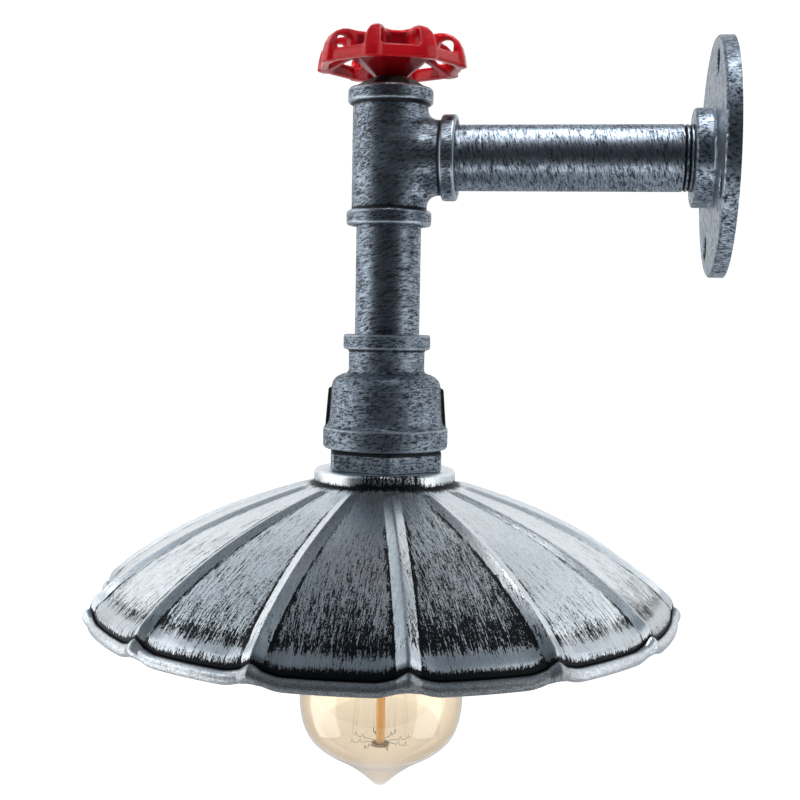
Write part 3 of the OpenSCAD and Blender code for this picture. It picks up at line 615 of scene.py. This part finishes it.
def build_shade():
    prof = np.array(shade_profile())
    nv = len(prof)
    r, z, nr, nz, wrib, wrim, dn = prof.T
    hw = 3.5 + (4.25 - 3.5) * np.clip((r - 35) / 80, 0, 1)          # half width of a rib
    hw = np.minimum(hw, 0.42 * HALF * r)
    high = 0.95 + 0.55 * np.clip((r - 35) / 75, 0, 1)               # height of a rib
    # columns of one panel, from one rib crest to the next: rib zone in half-widths, then the open panel
    rib = [0.0, 0.06, 0.13, 0.22, 0.36, 0.55, 0.74, 0.88, 0.95, 1.0, 1.05, 1.12, 1.28]
    mid = 11
    cols = [("q", v, 1) for v in rib] + [("u", k / mid, 1) for k in range(1, mid)] + [("u", 1.0, 1)]
    cols += [("u", 1 - k / mid, -1) for k in range(1, mid)] + [("q", v, -1) for v in rib[::-1][:-1]]
    nc = len(cols)
    half = HALF * r
    V = np.zeros((PANELS, nc, nv, 3))
    Q = np.zeros((nc, nv))
    XS = np.zeros((nc, nv))
    e = 0.13
    for c, (kind, val, side) in enumerate(cols):
        x = val * hw if kind == "q" else 1.28 * hw + (half - 1.28 * hw) * val     # arc distance from the rib crest
        q = x / hw
        Q[c], XS[c] = q, (x - half) * side
        ridge = np.clip(1 - (np.sqrt(q * q + e * e) - e) / (math.sqrt(1 + e * e) - e), 0, 1) * high
        off = x / r
        chord = math.cos(HALF) / np.cos(HALF - off)
        rr = r * (1 + (chord - 1) * wrib * (0.92 - 0.66 * wrim))
        d = ridge * wrib * (1 - 0.30 * wrim)
        sink = -2.9 * (1 - np.maximum(0.0, 1 - np.maximum(x - 0.6, 0) / 11.0) ** 1.7)
        rr = rr + nr * d
        zz = z + nz * d + sink * wrim
        ang = HALF + side * (off - HALF)                                          # from this panel's first crest
        for k in range(PANELS):
            A = RIB0 + 2 * HALF * k + ang
            V[k, c] = np.stack([DX + rr * np.cos(A), rr * np.sin(A), zz], -1)
    ncol = PANELS * nc
    verts = V.reshape(-1, 3)
    faces = grid_faces(ncol, nv, True, True)
    ob = link("shade_skin", [tuple(v) for v in verts], faces, [M_SHADE])
    me = ob.data
    # distance down the sheet
    s = np.concatenate([[0], np.cumsum(np.hypot(np.diff(r), np.diff(z)))])
    vi = np.zeros(len(me.loops), np.int64)
    me.loops.foreach_get("vertex_index", vi)
    ls = np.zeros(len(me.polygons), np.int64)
    lt = np.zeros(len(me.polygons), np.int64)
    me.polygons.foreach_get("loop_start", ls)
    me.polygons.foreach_get("loop_total", lt)
    poly = np.repeat(np.arange(len(ls)), lt)
    col, row = vi // nv, vi % nv
    # the panel of a face is that of the column it starts in
    first = np.full(len(ls), 1 << 30)
    last = np.zeros(len(ls), np.int64)
    np.minimum.at(first, poly, col)
    np.maximum.at(last, poly, col)
    wrap = last - first > nc
    start = np.where(wrap, last, first)
    pan = (start // nc)[poly]
    x = np.where(col // nc == pan, XS[col % nc, row], (half[row] - 0.0))
    brush = np.stack([pan * 83.7 + x, s[row], np.zeros(len(row))], -1)
    at = me.attributes.new("brush", "FLOAT_VECTOR", "CORNER")
    at.data.foreach_set("vector", brush.ravel().astype(np.float32))
    # some panels were brushed more fully than others at random, and partly painted light and shade: the front-right
    # panel carries much less silver, the side panels more
    more = np.array([-0.036, 0.086, 0.075, 0.066, 0.03, 0.045, 0.02, 0.05, 0.03, 0.055, 0.066, 0.062, 0.034, 0.036])
    at = me.attributes.new("panel", "FLOAT", "CORNER")
    at.data.foreach_set("value", more[pan].astype(np.float32))
    # painted light and shade: 0 at the front and rising away from it, to lighten the groove, bead and collar at the
    # sides and darken the front of the collar
    turn = np.abs(np.mod(np.arctan2(verts[:, 1], verts[:, 0] - DX) - RIB0 + math.pi, 2 * math.pi) - math.pi)
    k = np.clip((turn - math.radians(20)) / math.radians(14), 0, 1)
    at = me.attributes.new("painted_side_light", "FLOAT", "POINT")
    at.data.foreach_set("value", (0.10 * k * k * (3 - 2 * k)).astype(np.float32))
    at = me.attributes.new("ribq", "FLOAT", "POINT")
    at.data.foreach_set("value", np.tile(Q, (PANELS, 1)).ravel().astype(np.float32))
    at = me.attributes.new("down", "FLOAT", "POINT")
    at.data.foreach_set("value", np.tile(dn, ncol).astype(np.float32))
    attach(ob, "frame")
    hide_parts("shade")
    return ob


build_shade()

# ---------------------------------------------------------------------------
# handwheel: size, height and turn of the octagonal wheel; its band, eight humped arms, plate and funnel hub are cast
# from a distance field further down
# ---------------------------------------------------------------------------

WHEEL_R, WHEEL_Z = 31.7, 35.3
WHEEL_A = math.radians(-90 + 8 - 15)


# ---------------------------------------------------------------------------
# bulb
# ---------------------------------------------------------------------------

CAP_Z = -124.0
GZ0 = CAP_Z - 24.6
GT = -265.2
ROD_Z = -265.2 + 18.5


def build_bulb():
    outer = [(12.0, GZ0 + 0.3), (12.8, GZ0 - 0.3), (13.6, GZ0 - 2), (14.9, GZ0 - 6), (17, GZ0 - 12), (20.2, GZ0 - 22), (24, GZ0 - 34), (28, GZ0 - 47),
             (31.4, GT + 56), (33.6, GT + 47), (34.45, GT + 41), (34.45, GT + 36), (33.5, GT + 30), (32.0, GT + 25.5), (29.6, GT + 21.5), (26.0, GT + 18),
             (21.5, GT + 15), (16.7, GT + 12.2), (12.8, GT + 9.6), (9.6, GT + 7.2), (6.9, GT + 5), (4.8, GT + 3), (2.9, GT + 1.2), (1.3, GT + 0.25), (0, GT)]
    out = spline(outer, 6)
    # wall of 0.8 mm
    inner = []
    for i, (r, z) in enumerate(out):
        a, b = out[max(0, i - 1)], out[min(len(out) - 1, i + 1)]
        dr, dz = b[0] - a[0], b[1] - a[1]
        l = math.hypot(dr, dz) or 1
        th = 0.8
        inner.append((max(0.0, r + dz / l * th), z - dr / l * th))
    inner[-1] = (0.0, GT + 0.8)
    ob = revolve("bulb_envelope", out + inner[::-1], 128, [M_GLASS])
    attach(ob, "bulb")
    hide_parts("bulb_glass")


def tubes(name, paths, r, sides, mats):
    """Fine wires along paths of points in mm, all in one mesh."""
    V, F = [], []
    for path in paths:
        P = [Vector(q) for q in path]
        first = len(V)
        side = None
        for i, q in enumerate(P):
            t = (P[min(i + 1, len(P) - 1)] - P[max(i - 1, 0)]).normalized()
            if side is None:
                side = t.orthogonal().normalized()
            side = (side - t * side.dot(t)).normalized()
            up = t.cross(side)
            for k in range(sides):
                a = TAU * k / sides
                V.append(tuple(q + (side * math.cos(a) + up * math.sin(a)) * r))
        for i in range(len(P) - 1):
            for k in range(sides):
                a, b = first + i * sides + k, first + i * sides + (k + 1) % sides
                F.append((a, b, b + sides, a + sides))
        F.append(tuple(first + k for k in range(sides))[::-1])
        F.append(tuple(first + (len(P) - 1) * sides + k for k in range(sides)))
    return link(name, V, F, mats)


def build_filament():
    """Squirrel cage of hair-fine wire between an upper and a lower crown of hooks."""
    n = 8
    lo, hi = ROD_Z + 0.5, GZ0 - 46.0
    hooks, wire = [], []

    def at(a, r, z):
        return (DX + r * math.cos(a), r * math.sin(a), z)

    for i in range(n):
        a = math.radians(22 + i * 360 / n)
        hooks.append([at(a, 1.7, lo - 0.1), at(a, 5.0, lo + 0.3), at(a, 8.0, lo + 0.1), at(a, 9.0, lo + 1.6), at(a, 9.8, lo + 0.1), at(a, 11.6, lo + 0.3), at(a, 12.4, lo + 2.0), at(a, 13.0, lo + 0.2)])
        b = a + math.pi / n
        hooks.append([at(b, 1.7, hi), at(b, 5.0, hi + 0.4), at(b, 8.6, hi + 0.2), at(b, 9.0, hi - 0.7)])
        for c, r in ((b - 0.02, 12.4), (b - TAU / n + 0.02, 12.4)):
            wire.append([at(a, r, lo + 2.0), at(c, 9.0, hi - 0.7)])
    ob = tubes("filament_wire", wire, 0.032, 6, [M_FIL])
    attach(ob, "bulb")
    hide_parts("filament")
    ob = tubes("hook_wire", hooks, 0.12, 6, [M_WIRE])
    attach(ob, "bulb")
    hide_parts("filament_hooks")


build_bulb()
build_filament()

# ---------------------------------------------------------------------------
# cast fittings, from distance fields so that every inner corner has its fillet
# ---------------------------------------------------------------------------


def smin(a, b, k):
    h = np.clip(0.5 + 0.5 * (b - a) / k, 0, 1)
    return b + (a - b) * h - k * h * (1 - h)


def smax(a, b, k):
    return -smin(-a, -b, k)


def sd_poly(x, y, pts):
    """Signed distance to a closed polygon."""
    d = np.full(x.shape, 1e18)
    s = np.ones(x.shape)
    n = len(pts)
    for i in range(n):
        vx, vy = pts[i]
        wx, wy = pts[i - 1]
        ex, ey = wx - vx, wy - vy
        px, py = x - vx, y - vy
        t = np.clip((px * ex + py * ey) / (ex * ex + ey * ey), 0, 1)
        bx, by = px - ex * t, py - ey * t
        d = np.minimum(d, bx * bx + by * by)
        c1, c2, c3 = y >= vy, y < wy, ex * py > ey * px
        s = np.where((c1 & c2 & c3) | (~c1 & ~c2 & ~c3), -s, s)
    return s * np.sqrt(d)


def nets(f, lo, hi, h):
    """Mesh of f = 0 over a box: one vertex per cell that the surface crosses, moved onto the surface."""
    ax = [np.arange(lo[i], hi[i] + h, h) for i in range(3)]
    G = np.meshgrid(*ax, indexing="ij")
    V = f(*G)
    s = V < 0
    n = [k - 1 for k in V.shape]
    cnt = np.zeros(n, np.int8)
    for i in (0, 1):
        for j in (0, 1):
            for k in (0, 1):
                cnt += s[i:n[0] + i, j:n[1] + j, k:n[2] + k]
    act = (cnt > 0) & (cnt < 8)
    idx = -np.ones(n, np.int64)
    cells = np.argwhere(act)
    idx[act] = np.arange(len(cells))
    pos = np.zeros((len(cells), 3))
    num = np.zeros(len(cells))
    for a in range(3):
        o = [0, 0, 0]
        u, v = [q for q in range(3) if q != a]
        for i in (0, 1):
            for j in (0, 1):
                o = [0, 0, 0]
                o[u], o[v] = i, j
                c0 = cells + o
                e = [0, 0, 0]
                e[a] = 1
                c1 = c0 + e
                v0 = V[c0[:, 0], c0[:, 1], c0[:, 2]]
                v1 = V[c1[:, 0], c1[:, 1], c1[:, 2]]
                m = (v0 < 0) != (v1 < 0)
                t = np.where(m, v0 / np.where(m, v0 - v1, 1), 0)
                p = c0.astype(float)
                p[:, a] += t
                pos[m] += p[m]
                num[m] += 1
    pos = pos / num[:, None] * h + np.array(lo)
    e = h * 0.05
    for _ in range(2):
        x, y, z = pos.T
        d = f(x, y, z)
        g = np.stack([f(x + e, y, z) - f(x - e, y, z), f(x, y + e, z) - f(x, y - e, z), f(x, y, z + e) - f(x, y, z - e)], -1) / (2 * e)
        gl = np.maximum((g * g).sum(-1), 0.25)
        pos = pos - g * np.clip(d / gl, -0.3 * h, 0.3 * h)[:, None]
    faces = []
    for a in range(3):
        u, v = [(1, 2), (2, 0), (0, 1)][a]
        q = [slice(None)] * 3
        q[a] = slice(0, -1)
        q2 = [slice(None)] * 3
        q2[a] = slice(1, None)
        A, B = s[tuple(q)], s[tuple(q2)]
        m = A != B
        w = np.argwhere(m)
        ok = np.ones(len(w), bool)
        for k in (u, v):
            ok &= (w[:, k] > 0) & (w[:, k] < n[k])
        w = w[ok]
        flip = B[w[:, 0], w[:, 1], w[:, 2]]
        quad = []
        for du, dv in ((-1, -1), (0, -1), (0, 0), (-1, 0)):
            c = w.copy()
            c[:, u] += du
            c[:, v] += dv
            quad.append(idx[c[:, 0], c[:, 1], c[:, 2]])
        quad = np.stack(quad, -1)
        quad[flip] = quad[flip][:, ::-1]
        faces.append(quad)
    return pos, np.concatenate(faces)


def field_piece(name, f, lo, hi, h, mats, body, node, shift=(DX, 0, 0), bare=None, miss=1.0):
    raw, quads = nets(f, lo, hi, h)
    pos = (raw + np.array(shift)) * MM
    me = bpy.data.meshes.new(name)
    me.vertices.add(len(pos))
    me.vertices.foreach_set("co", pos.ravel())
    me.loops.add(len(quads) * 4)
    me.loops.foreach_set("vertex_index", quads.ravel())
    me.polygons.add(len(quads))
    me.polygons.foreach_set("loop_start", np.arange(len(quads)) * 4)
    me.update(calc_edges=True)
    me.validate()
    for m in mats:
        me.materials.append(m)
    me.polygons.foreach_set("use_smooth", np.ones(len(me.polygons), bool))
    # curvature, for where a brush catches and misses
    x, y, z = raw.T
    e = 0.55
    lap = (f(x + e, y, z) + f(x - e, y, z) + f(x, y + e, z) + f(x, y - e, z) + f(x, y, z + e) + f(x, y, z - e) - 6 * f(x, y, z)) / (e * e)
    lap = np.where(lap < 0, lap * miss, lap)
    if bare:
        lap = np.where(bare(x, y, z), -1.0, lap)
    at = me.attributes.new("edge", "FLOAT", "POINT")
    at.data.foreach_set("value", lap.astype(np.float32))
    ob = bpy.data.objects.new(name, me)
    bpy.context.scene.collection.objects.link(ob)
    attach(ob, body)
    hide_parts(node)
    return ob


def tee_field(x, y, z):
    tr, bnd, end, bw = 15.6, 17.6, 28.0, 6.2
    rz = np.hypot(x, y)
    rx = np.hypot(y, z)
    run = smax(rz - tr, np.abs(z) - end, 0.6)
    fade = np.clip((6.0 - x) / 16.0, 0, 1)
    br = smax(smax(rx - tr + 0.25 + 7.0 * fade * fade * (3 - 2 * fade), x - end, 0.6), -x - 5, 0.6)
    d = smin(run, br, 5.5)
    for c in (end - bw / 2, -end + bw / 2):
        d = smin(d, smax(rz - bnd, np.abs(z - c) - bw / 2, 1.3), 1.0)
    d = smin(d, smax(rx - bnd, np.abs(x - (end - bw / 2)) - bw / 2, 1.3), 1.0)
    # bores
    d = smax(d, -(rz - 12.2), 0.4)
    d = smax(d, -smax(rz - 13.5, 12.8 - np.abs(z), 0.2), 0.4)
    d = smax(d, -smax(rx - 12.0, -x, 0.4), 0.4)
    d = smax(d, -smax(rx - 13.5, 12.8 - x, 0.2), 0.4)
    d = smax(d, -((rz - 15.7) * 0.77 + (end - np.abs(z)) * 0.64), 0.3)
    d = smax(d, -((rx - 15.7) * 0.77 + (end - x) * 0.64), 0.3)
    return d


def soft(pts):
    """Closed outline of (x, y, reach), each corner eased over its reach in mm."""
    out = []
    for i, (x, y, t) in enumerate(pts):
        if not t:
            out.append((x, y))
            continue
        ends = []
        for q in (pts[i - 1], pts[(i + 1) % len(pts)]):
            l = math.hypot(q[0] - x, q[1] - y)
            ends.append((x + (q[0] - x) / l * t, y + (q[1] - y) / l * t))
        (ax, ay), (bx, by) = ends
        for k in range(6):
            u = k / 5
            out.append(((1 - u) ** 2 * ax + 2 * u * (1 - u) * x + u * u * bx, (1 - u) ** 2 * ay + 2 * u * (1 - u) * y + u * u * by))
    return out


SHOULDER = [(15.8, -87.4), (15.95, -88.3), (16.8, -89.1), (18.9, -89.8), (20.6, -90.8), (21.8, -92.0), (22.6, -93.8), (22.9, -96.8),
            (23.3, -104.3), (23.7, -108.8), (24.5, -110.6), (25.3, -111.4)]
BELL = soft([(13.5, -73.0, 0.3), (18.1, -73.0, 0.9), (18.1, -79.1, 0.9), (15.8, -79.3, 1.3)] + [(r, z, 0) for r, z in spline(SHOULDER, 4)]
            + [(26.1, -111.9, 0.5), (26.1, -120.5, 1.9), (20.15, -120.5, 0.3), (20.15, -103.0, 0), (17.7, -103.0, 0), (17.7, -99.0, 0),
               (11.4, -90.0, 0), (11.4, -87.2, 0), (13.5, -87.2, 0)])


def bell_rib(x, y):
    """Along and across the two ribs."""
    c, s = math.cos(math.radians(8)), math.sin(math.radians(8))
    return np.abs(x * c + y * s), -x * s + y * c


def bell_bare(x, y, z):
    """The ribs keep the black coat."""
    u, v = bell_rib(x, y)
    body = np.interp(-z, [94, 97, 104.3, 108.8, 111], [22.6, 22.9, 23.3, 23.7, 24.7])
    return (u > body + 0.2) & (np.abs(v) < 2.6) & (z < -94.6) & (z > -111.6)


def hex_bare(x, y, z):
    """So does the gap under the reducer."""
    return (z > -121.9) & (np.hypot(x, y) > 20.6)


def bell_field(x, y, z):
    r = np.hypot(x, y)
    d = sd_poly(r, z, BELL)
    # ribs on both sides
    u, v = bell_rib(x, y)
    rib = smax(smax(u - 24.0 + (z + 95.2) * 0.078, np.abs(v) - 2.2, 0.6), np.abs(z + 103.6) - 8.4, 1.2)
    rib = smax(rib, 21.8 - u, 0.3)
    return smin(d, rib, 0.5)


def hex_field(x, y, z):
    r = np.hypot(x, y)
    a = np.arctan2(y, x) - math.radians(-90 + 12)
    a = np.mod(a + math.pi / 6, math.pi / 3) - math.pi / 6
    fx, fy = r * np.cos(a), r * np.sin(a)
    ap = 22.5
    flat = smax(fx * math.cos(math.pi / 6) + fy * 0.5 - ap, fx * math.cos(math.pi / 6) - fy * 0.5 - ap, 0.8)
    d = smax(flat, np.abs(z + 124.75) - 4.2, 0.7)
    d = smax(d, (r - 24.9) * 0.87 + (np.abs(z + 124.75) - 4.2) * 0.5, 0.5)
    thr = 20.1 + 0.0 * z
    w = np.abs(np.mod(z + 0.6, 2.309) / 2.309 - 0.5) * 2
    core = np.where((z < -129.0) | (z > -120.5), thr - 0.75 * w, thr)
    d = smin(d, np.maximum(r - core, np.abs(z + 124.3) - 17.7), 0.25)
    return np.maximum(d, 17.5 - r)


# arm of the wheel in the plane of a corner: outline and the eye in it
ARM = [(31.3, 36.2), (30.9, 40.2), (30.0, 43.6), (28.3, 46.6), (25.9, 48.6), (23.2, 49.7), (20.6, 50.0), (18.2, 49.8), (16.0, 49.3), (12.0, 48.6),
       (12.0, 43.0), (19.6, 40.0), (27.0, 36.2)]


def wheel_field(x, y, z):
    r = np.hypot(x, y)
    a = np.arctan2(y, x) - WHEEL_A
    a = np.mod(a + math.pi / 8, math.pi / 4) - math.pi / 8
    u, v = r * np.cos(a), r * np.sin(a)
    c8, s8 = math.cos(math.pi / 8), math.sin(math.pi / 8)
    # octagon band, leaning inwards upwards, rounded over the corners
    ap = smax(u * c8 + v * s8, u * c8 - v * s8, 1.6)
    lean = 0.22 * (z - 36.0)
    A = WHEEL_R * c8 - 0.25
    q = np.abs(ap + lean - (A - 1.6)) - 1.6
    band = smax(q, np.abs(z - 38.5) - 2.55, 1.3)
    # arm: web from the drum over the hump to the corner, with an eye
    out = sd_poly(u, z, ARM)
    ex, ez = np.abs(u - 23.2) - 0.4, np.abs(z - 43.9) - 0.6
    eye = np.hypot(np.maximum(ex, 0), np.maximum(ez, 0)) + np.minimum(np.maximum(ex, ez), 0) - 2.7
    arm = smax(out, -eye, 1.1)
    wid = 2.75 + 0.55 * np.clip((u - 22) / 8, 0, 1) - 0.10 * np.clip(z - 44, 0, 6)
    arm = smax(arm, np.abs(v) - wid, 1.9)
    d = smin(band, arm, 1.5)
    # drum with a hollow top, on an eight-sided funnel
    ar = smax(u * c8 + v * s8, u * c8 - v * s8, 1.0) / c8
    drum = smax(ar - 16.4, np.abs(z - 47.6) - 1.4, 1.2)
    fun = smax(ar - (6.0 + np.clip(z - 32.2, 0, 16) * 1.25) + 1.2 * np.clip(z - 40.5, 0, 8), np.abs(z - 40.2) - 8.0, 0.8) * 0.7
    d = smin(d, smin(drum, fun, 1.0), 1.6)
    d = smax(d, -smax(r - 9.4 - 0.5 * np.clip(z - 44.0, 0, 6), 42.5 - z, 1.5), 0.8)
    return np.maximum(d, 3.95 - r)


def bonnet_field(x, y, z):
    r = np.hypot(x, y)
    a = np.arctan2(y, x) - math.radians(8 + 30)
    a = np.mod(a + math.pi / 6, math.pi / 3) - math.pi / 6
    u, v = r * np.cos(a), r * np.sin(a)
    R6 = 16.6 - (z - 28.0) * 1.70
    # a points at the middle of a flat
    side = smax(smax(u, 0.5 * u + 0.866 * v, 0.3), 0.5 * u - 0.866 * v, 0.3) - R6 * 0.866
    d = smax(smax(side * 0.56, np.abs(z - 29.4) - 2.8, 0.35), r - 16.2, 0.3)
    d = np.minimum(d, smax(r - 13.4, np.abs(z - 22.0) - 6.6, 0.4))
    return np.maximum(d, 4.0 - r)


h0 = 0.42
field_piece("tee_cast", tee_field, (-18.6, -18.8, -29), (29, 18.8, 29), h0, [M_TEE], "frame", "tee")
field_piece("reducer_cast", bell_field, (-27.4, -27.4, -121.5), (27.4, 27.4, -72), h0, [M_BELL], "frame", "bell_reducer", bare=bell_bare, miss=0.3)
field_piece("hex_cast", hex_field, (-27.4, -27.4, -143), (27.4, 27.4, -105.6), h0, [M_HEX], "frame", "hex_nipple", bare=hex_bare)
field_piece("handwheel_cast", wheel_field, (-33, -33, 31.4), (33, 33, 51), 0.36, [M_RED], "wheel", "handwheel")
field_piece("bonnet_turned", bonnet_field, (-17, -17, 14.6), (17, 17, 32.6), 0.36, [M_BONNET], "frame", "bonnet")

# ---------------------------------------------------------------------------
# floor, light, camera
# ---------------------------------------------------------------------------


def build_stage():
    me = bpy.data.meshes.new("floor")
    bm = bmesh.new()
    bm.faces.new([bm.verts.new(v) for v in ((-8, -1.6, 0), (8, -1.6, 0), (8, 12, 0), (-8, 12, 0))])
    bm.to_mesh(me)
    bm.free()
    fl = bpy.data.objects.new("floor", me)
    fl.location = (0, 0, -1.1)
    bpy.context.scene.collection.objects.link(fl)
    m = bpy.data.materials.new("floor_pale")
    m.use_nodes = True
    b = m.node_tree.nodes["Principled BSDF"]
    b.inputs["Base Color"].default_value = (0.92, 0.92, 0.92, 1)
    b.inputs["Roughness"].default_value = 0.9
    b.inputs["Emission Color"].default_value = (1, 1, 1, 1)
    # bright to the eye, softer in what it throws back at the metal
    lp = m.node_tree.nodes.new("ShaderNodeLightPath")
    mr = m.node_tree.nodes.new("ShaderNodeMapRange")
    mr.inputs["To Min"].default_value = 0.24
    mr.inputs["To Max"].default_value = 0.80
    mm = m.node_tree.nodes.new("ShaderNodeMath")
    mm.operation = "MAXIMUM"
    m.node_tree.links.new(lp.outputs["Is Camera Ray"], mm.inputs[0])
    m.node_tree.links.new(lp.outputs["Is Transmission Ray"], mm.inputs[1])
    m.node_tree.links.new(mm.outputs[0], mr.inputs["Value"])
    m.node_tree.links.new(mr.outputs[0], b.inputs["Emission Strength"])
    me.materials.append(m)
    fl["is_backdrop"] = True


def area(name, loc, target, size, power, color=(1, 1, 1), spread=180.0):
    l = bpy.data.lights.new(name, "AREA")
    l.shape = "RECTANGLE"
    l.size, l.size_y = size
    l.energy = power
    l.color = color
    l.spread = math.radians(spread)
    ob = bpy.data.objects.new(name, l)
    ob.location = loc
    d = Vector(target) - Vector(loc)
    ob.rotation_euler = d.to_track_quat("-Z", "Y").to_euler()
    bpy.context.scene.collection.objects.link(ob)
    return ob


build_stage()
C = (-0.12, 0.0, -0.10)
area("left_box", (-1.11, -0.156, -0.18), (-0.12, 0.0, -0.18), (0.93, 1.74), 7.6)
area("right_box", (0.86, -0.19, -0.18), (-0.12, 0.0, -0.18), (0.77, 1.74), 5.2)
area("arm_strip_front", (-0.05, -0.169, 0.417), (-0.05, 0, 0), (0.14, 0.09), 0.0085, spread=20.0)
area("arm_strip_top", (-0.05, 0.0, 0.30), (-0.05, 0.0, 0), (0.12, 0.09), 0.019, spread=20.0)
area("arm_strip_low", (-0.05, -0.50, -0.45), (-0.05, 0.0, 0.0), (0.16, 0.10), 0.005, spread=14.0)
area("wheel_front", (-0.165, -0.22, 0.33), (-0.136, 0.0, 0.052), (0.07, 0.04), 0.0105, spread=13.0)

# studio: white backdrop behind and low, grey above, dark in front
w = bpy.data.worlds.new("studio")
bpy.context.scene.world = w
w.use_nodes = True
nt = w.node_tree
bg = nt.nodes["Background"]
tc = nt.nodes.new("ShaderNodeTexCoord")
sx = nt.nodes.new("ShaderNodeSeparateXYZ")
nt.links.new(tc.outputs["Generated"], sx.inputs[0])


def w_step(sock, a, b, c, d):
    n = nt.nodes.new("ShaderNodeMapRange")
    n.interpolation_type = "SMOOTHSTEP"
    for k, v in (("From Min", a), ("From Max", b), ("To Min", c), ("To Max", d)):
        n.inputs[k].default_value = v
    nt.links.new(sock, n.inputs["Value"])
    return n.outputs[0]


def w_math(op, a, b=None):
    n = nt.nodes.new("ShaderNodeMath")
    n.operation = op
    for i, v in enumerate((a, b)):
        if v is None:
            continue
        if isinstance(v, (int, float)):
            n.inputs[i].default_value = v
        else:
            nt.links.new(v, n.inputs[i])
    return n.outputs[0]


back = w_math("MULTIPLY", w_step(sx.outputs["Y"], -0.05, 0.45, 0.0, 1.0), w_step(sx.outputs["Z"], 0.55, 0.86, 1.0, 0.0))
over = w_step(sx.outputs["Z"], 0.50, 0.90, 0.03, 0.19)
side = w_math("MULTIPLY", w_step(w_math("ABSOLUTE", sx.outputs["X"]), 0.30, 0.62, 0.0, 0.28), w_step(sx.outputs["Z"], 0.20, 0.60, 0.0, 1.0))
total = w_math("ADD", w_math("ADD", w_math("MULTIPLY", back, 0.98), over), side)
tint = nt.nodes.new("ShaderNodeMix")
tint.data_type = "RGBA"
for a, b in zip([i for i in tint.inputs if i.name == "A" and i.type == "RGBA"], [i for i in tint.inputs if i.name == "B" and i.type == "RGBA"]):
    a.default_value = (0.86, 0.99, 1.12, 1)
    b.default_value = (0.98, 0.99, 1.0, 1)
nt.links.new(back, tint.inputs[0])
nt.links.new([o for o in tint.outputs if o.type == "RGBA"][0], bg.inputs[0])
nt.links.new(total, bg.inputs[1])
white = nt.nodes.new("ShaderNodeBackground")
white.inputs[0].default_value = (1, 1, 1, 1)
white.inputs[1].default_value = 1.05
lp = nt.nodes.new("ShaderNodeLightPath")
mx = nt.nodes.new("ShaderNodeMixShader")
nt.links.new(w_math("MAXIMUM", lp.outputs["Is Camera Ray"], lp.outputs["Is Transmission Ray"]), mx.inputs[0])
nt.links.new(bg.outputs[0], mx.inputs[1])
nt.links.new(white.outputs[0], mx.inputs[2])
nt.links.new(mx.outputs[0], nt.nodes["World Output"].inputs[0])

cam = bpy.data.cameras.new("camera")
cam.sensor_width = 36.0
cam.lens = 1269.9 / 800.0 * 36.0
cam.clip_start = 0.01
cam.clip_end = 50.0
co = bpy.data.objects.new("camera", cam)
yaw, pitch, roll = math.radians(-7.45), math.radians(-3.67), math.radians(0.99)
fwd = Vector((math.sin(yaw) * math.cos(pitch), math.cos(yaw) * math.cos(pitch), math.sin(pitch)))
right = Vector((math.cos(yaw), -math.sin(yaw), 0))
up = right.cross(fwd)
r2 = right * math.cos(roll) + up * math.sin(roll)
u2 = up * math.cos(roll) - right * math.sin(roll)
M = Matrix.Identity(4)
for i in range(3):
    M[i][0], M[i][1], M[i][2] = r2[i], u2[i], -fwd[i]
M[0][3], M[1][3], M[2][3] = 0.07468 - 0.136, -0.52565, -0.06622
co.matrix_world = M
bpy.context.scene.collection.objects.link(co)
bpy.context.scene.camera = co
bpy.context.scene.view_settings.view_transform = "Standard"

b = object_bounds()
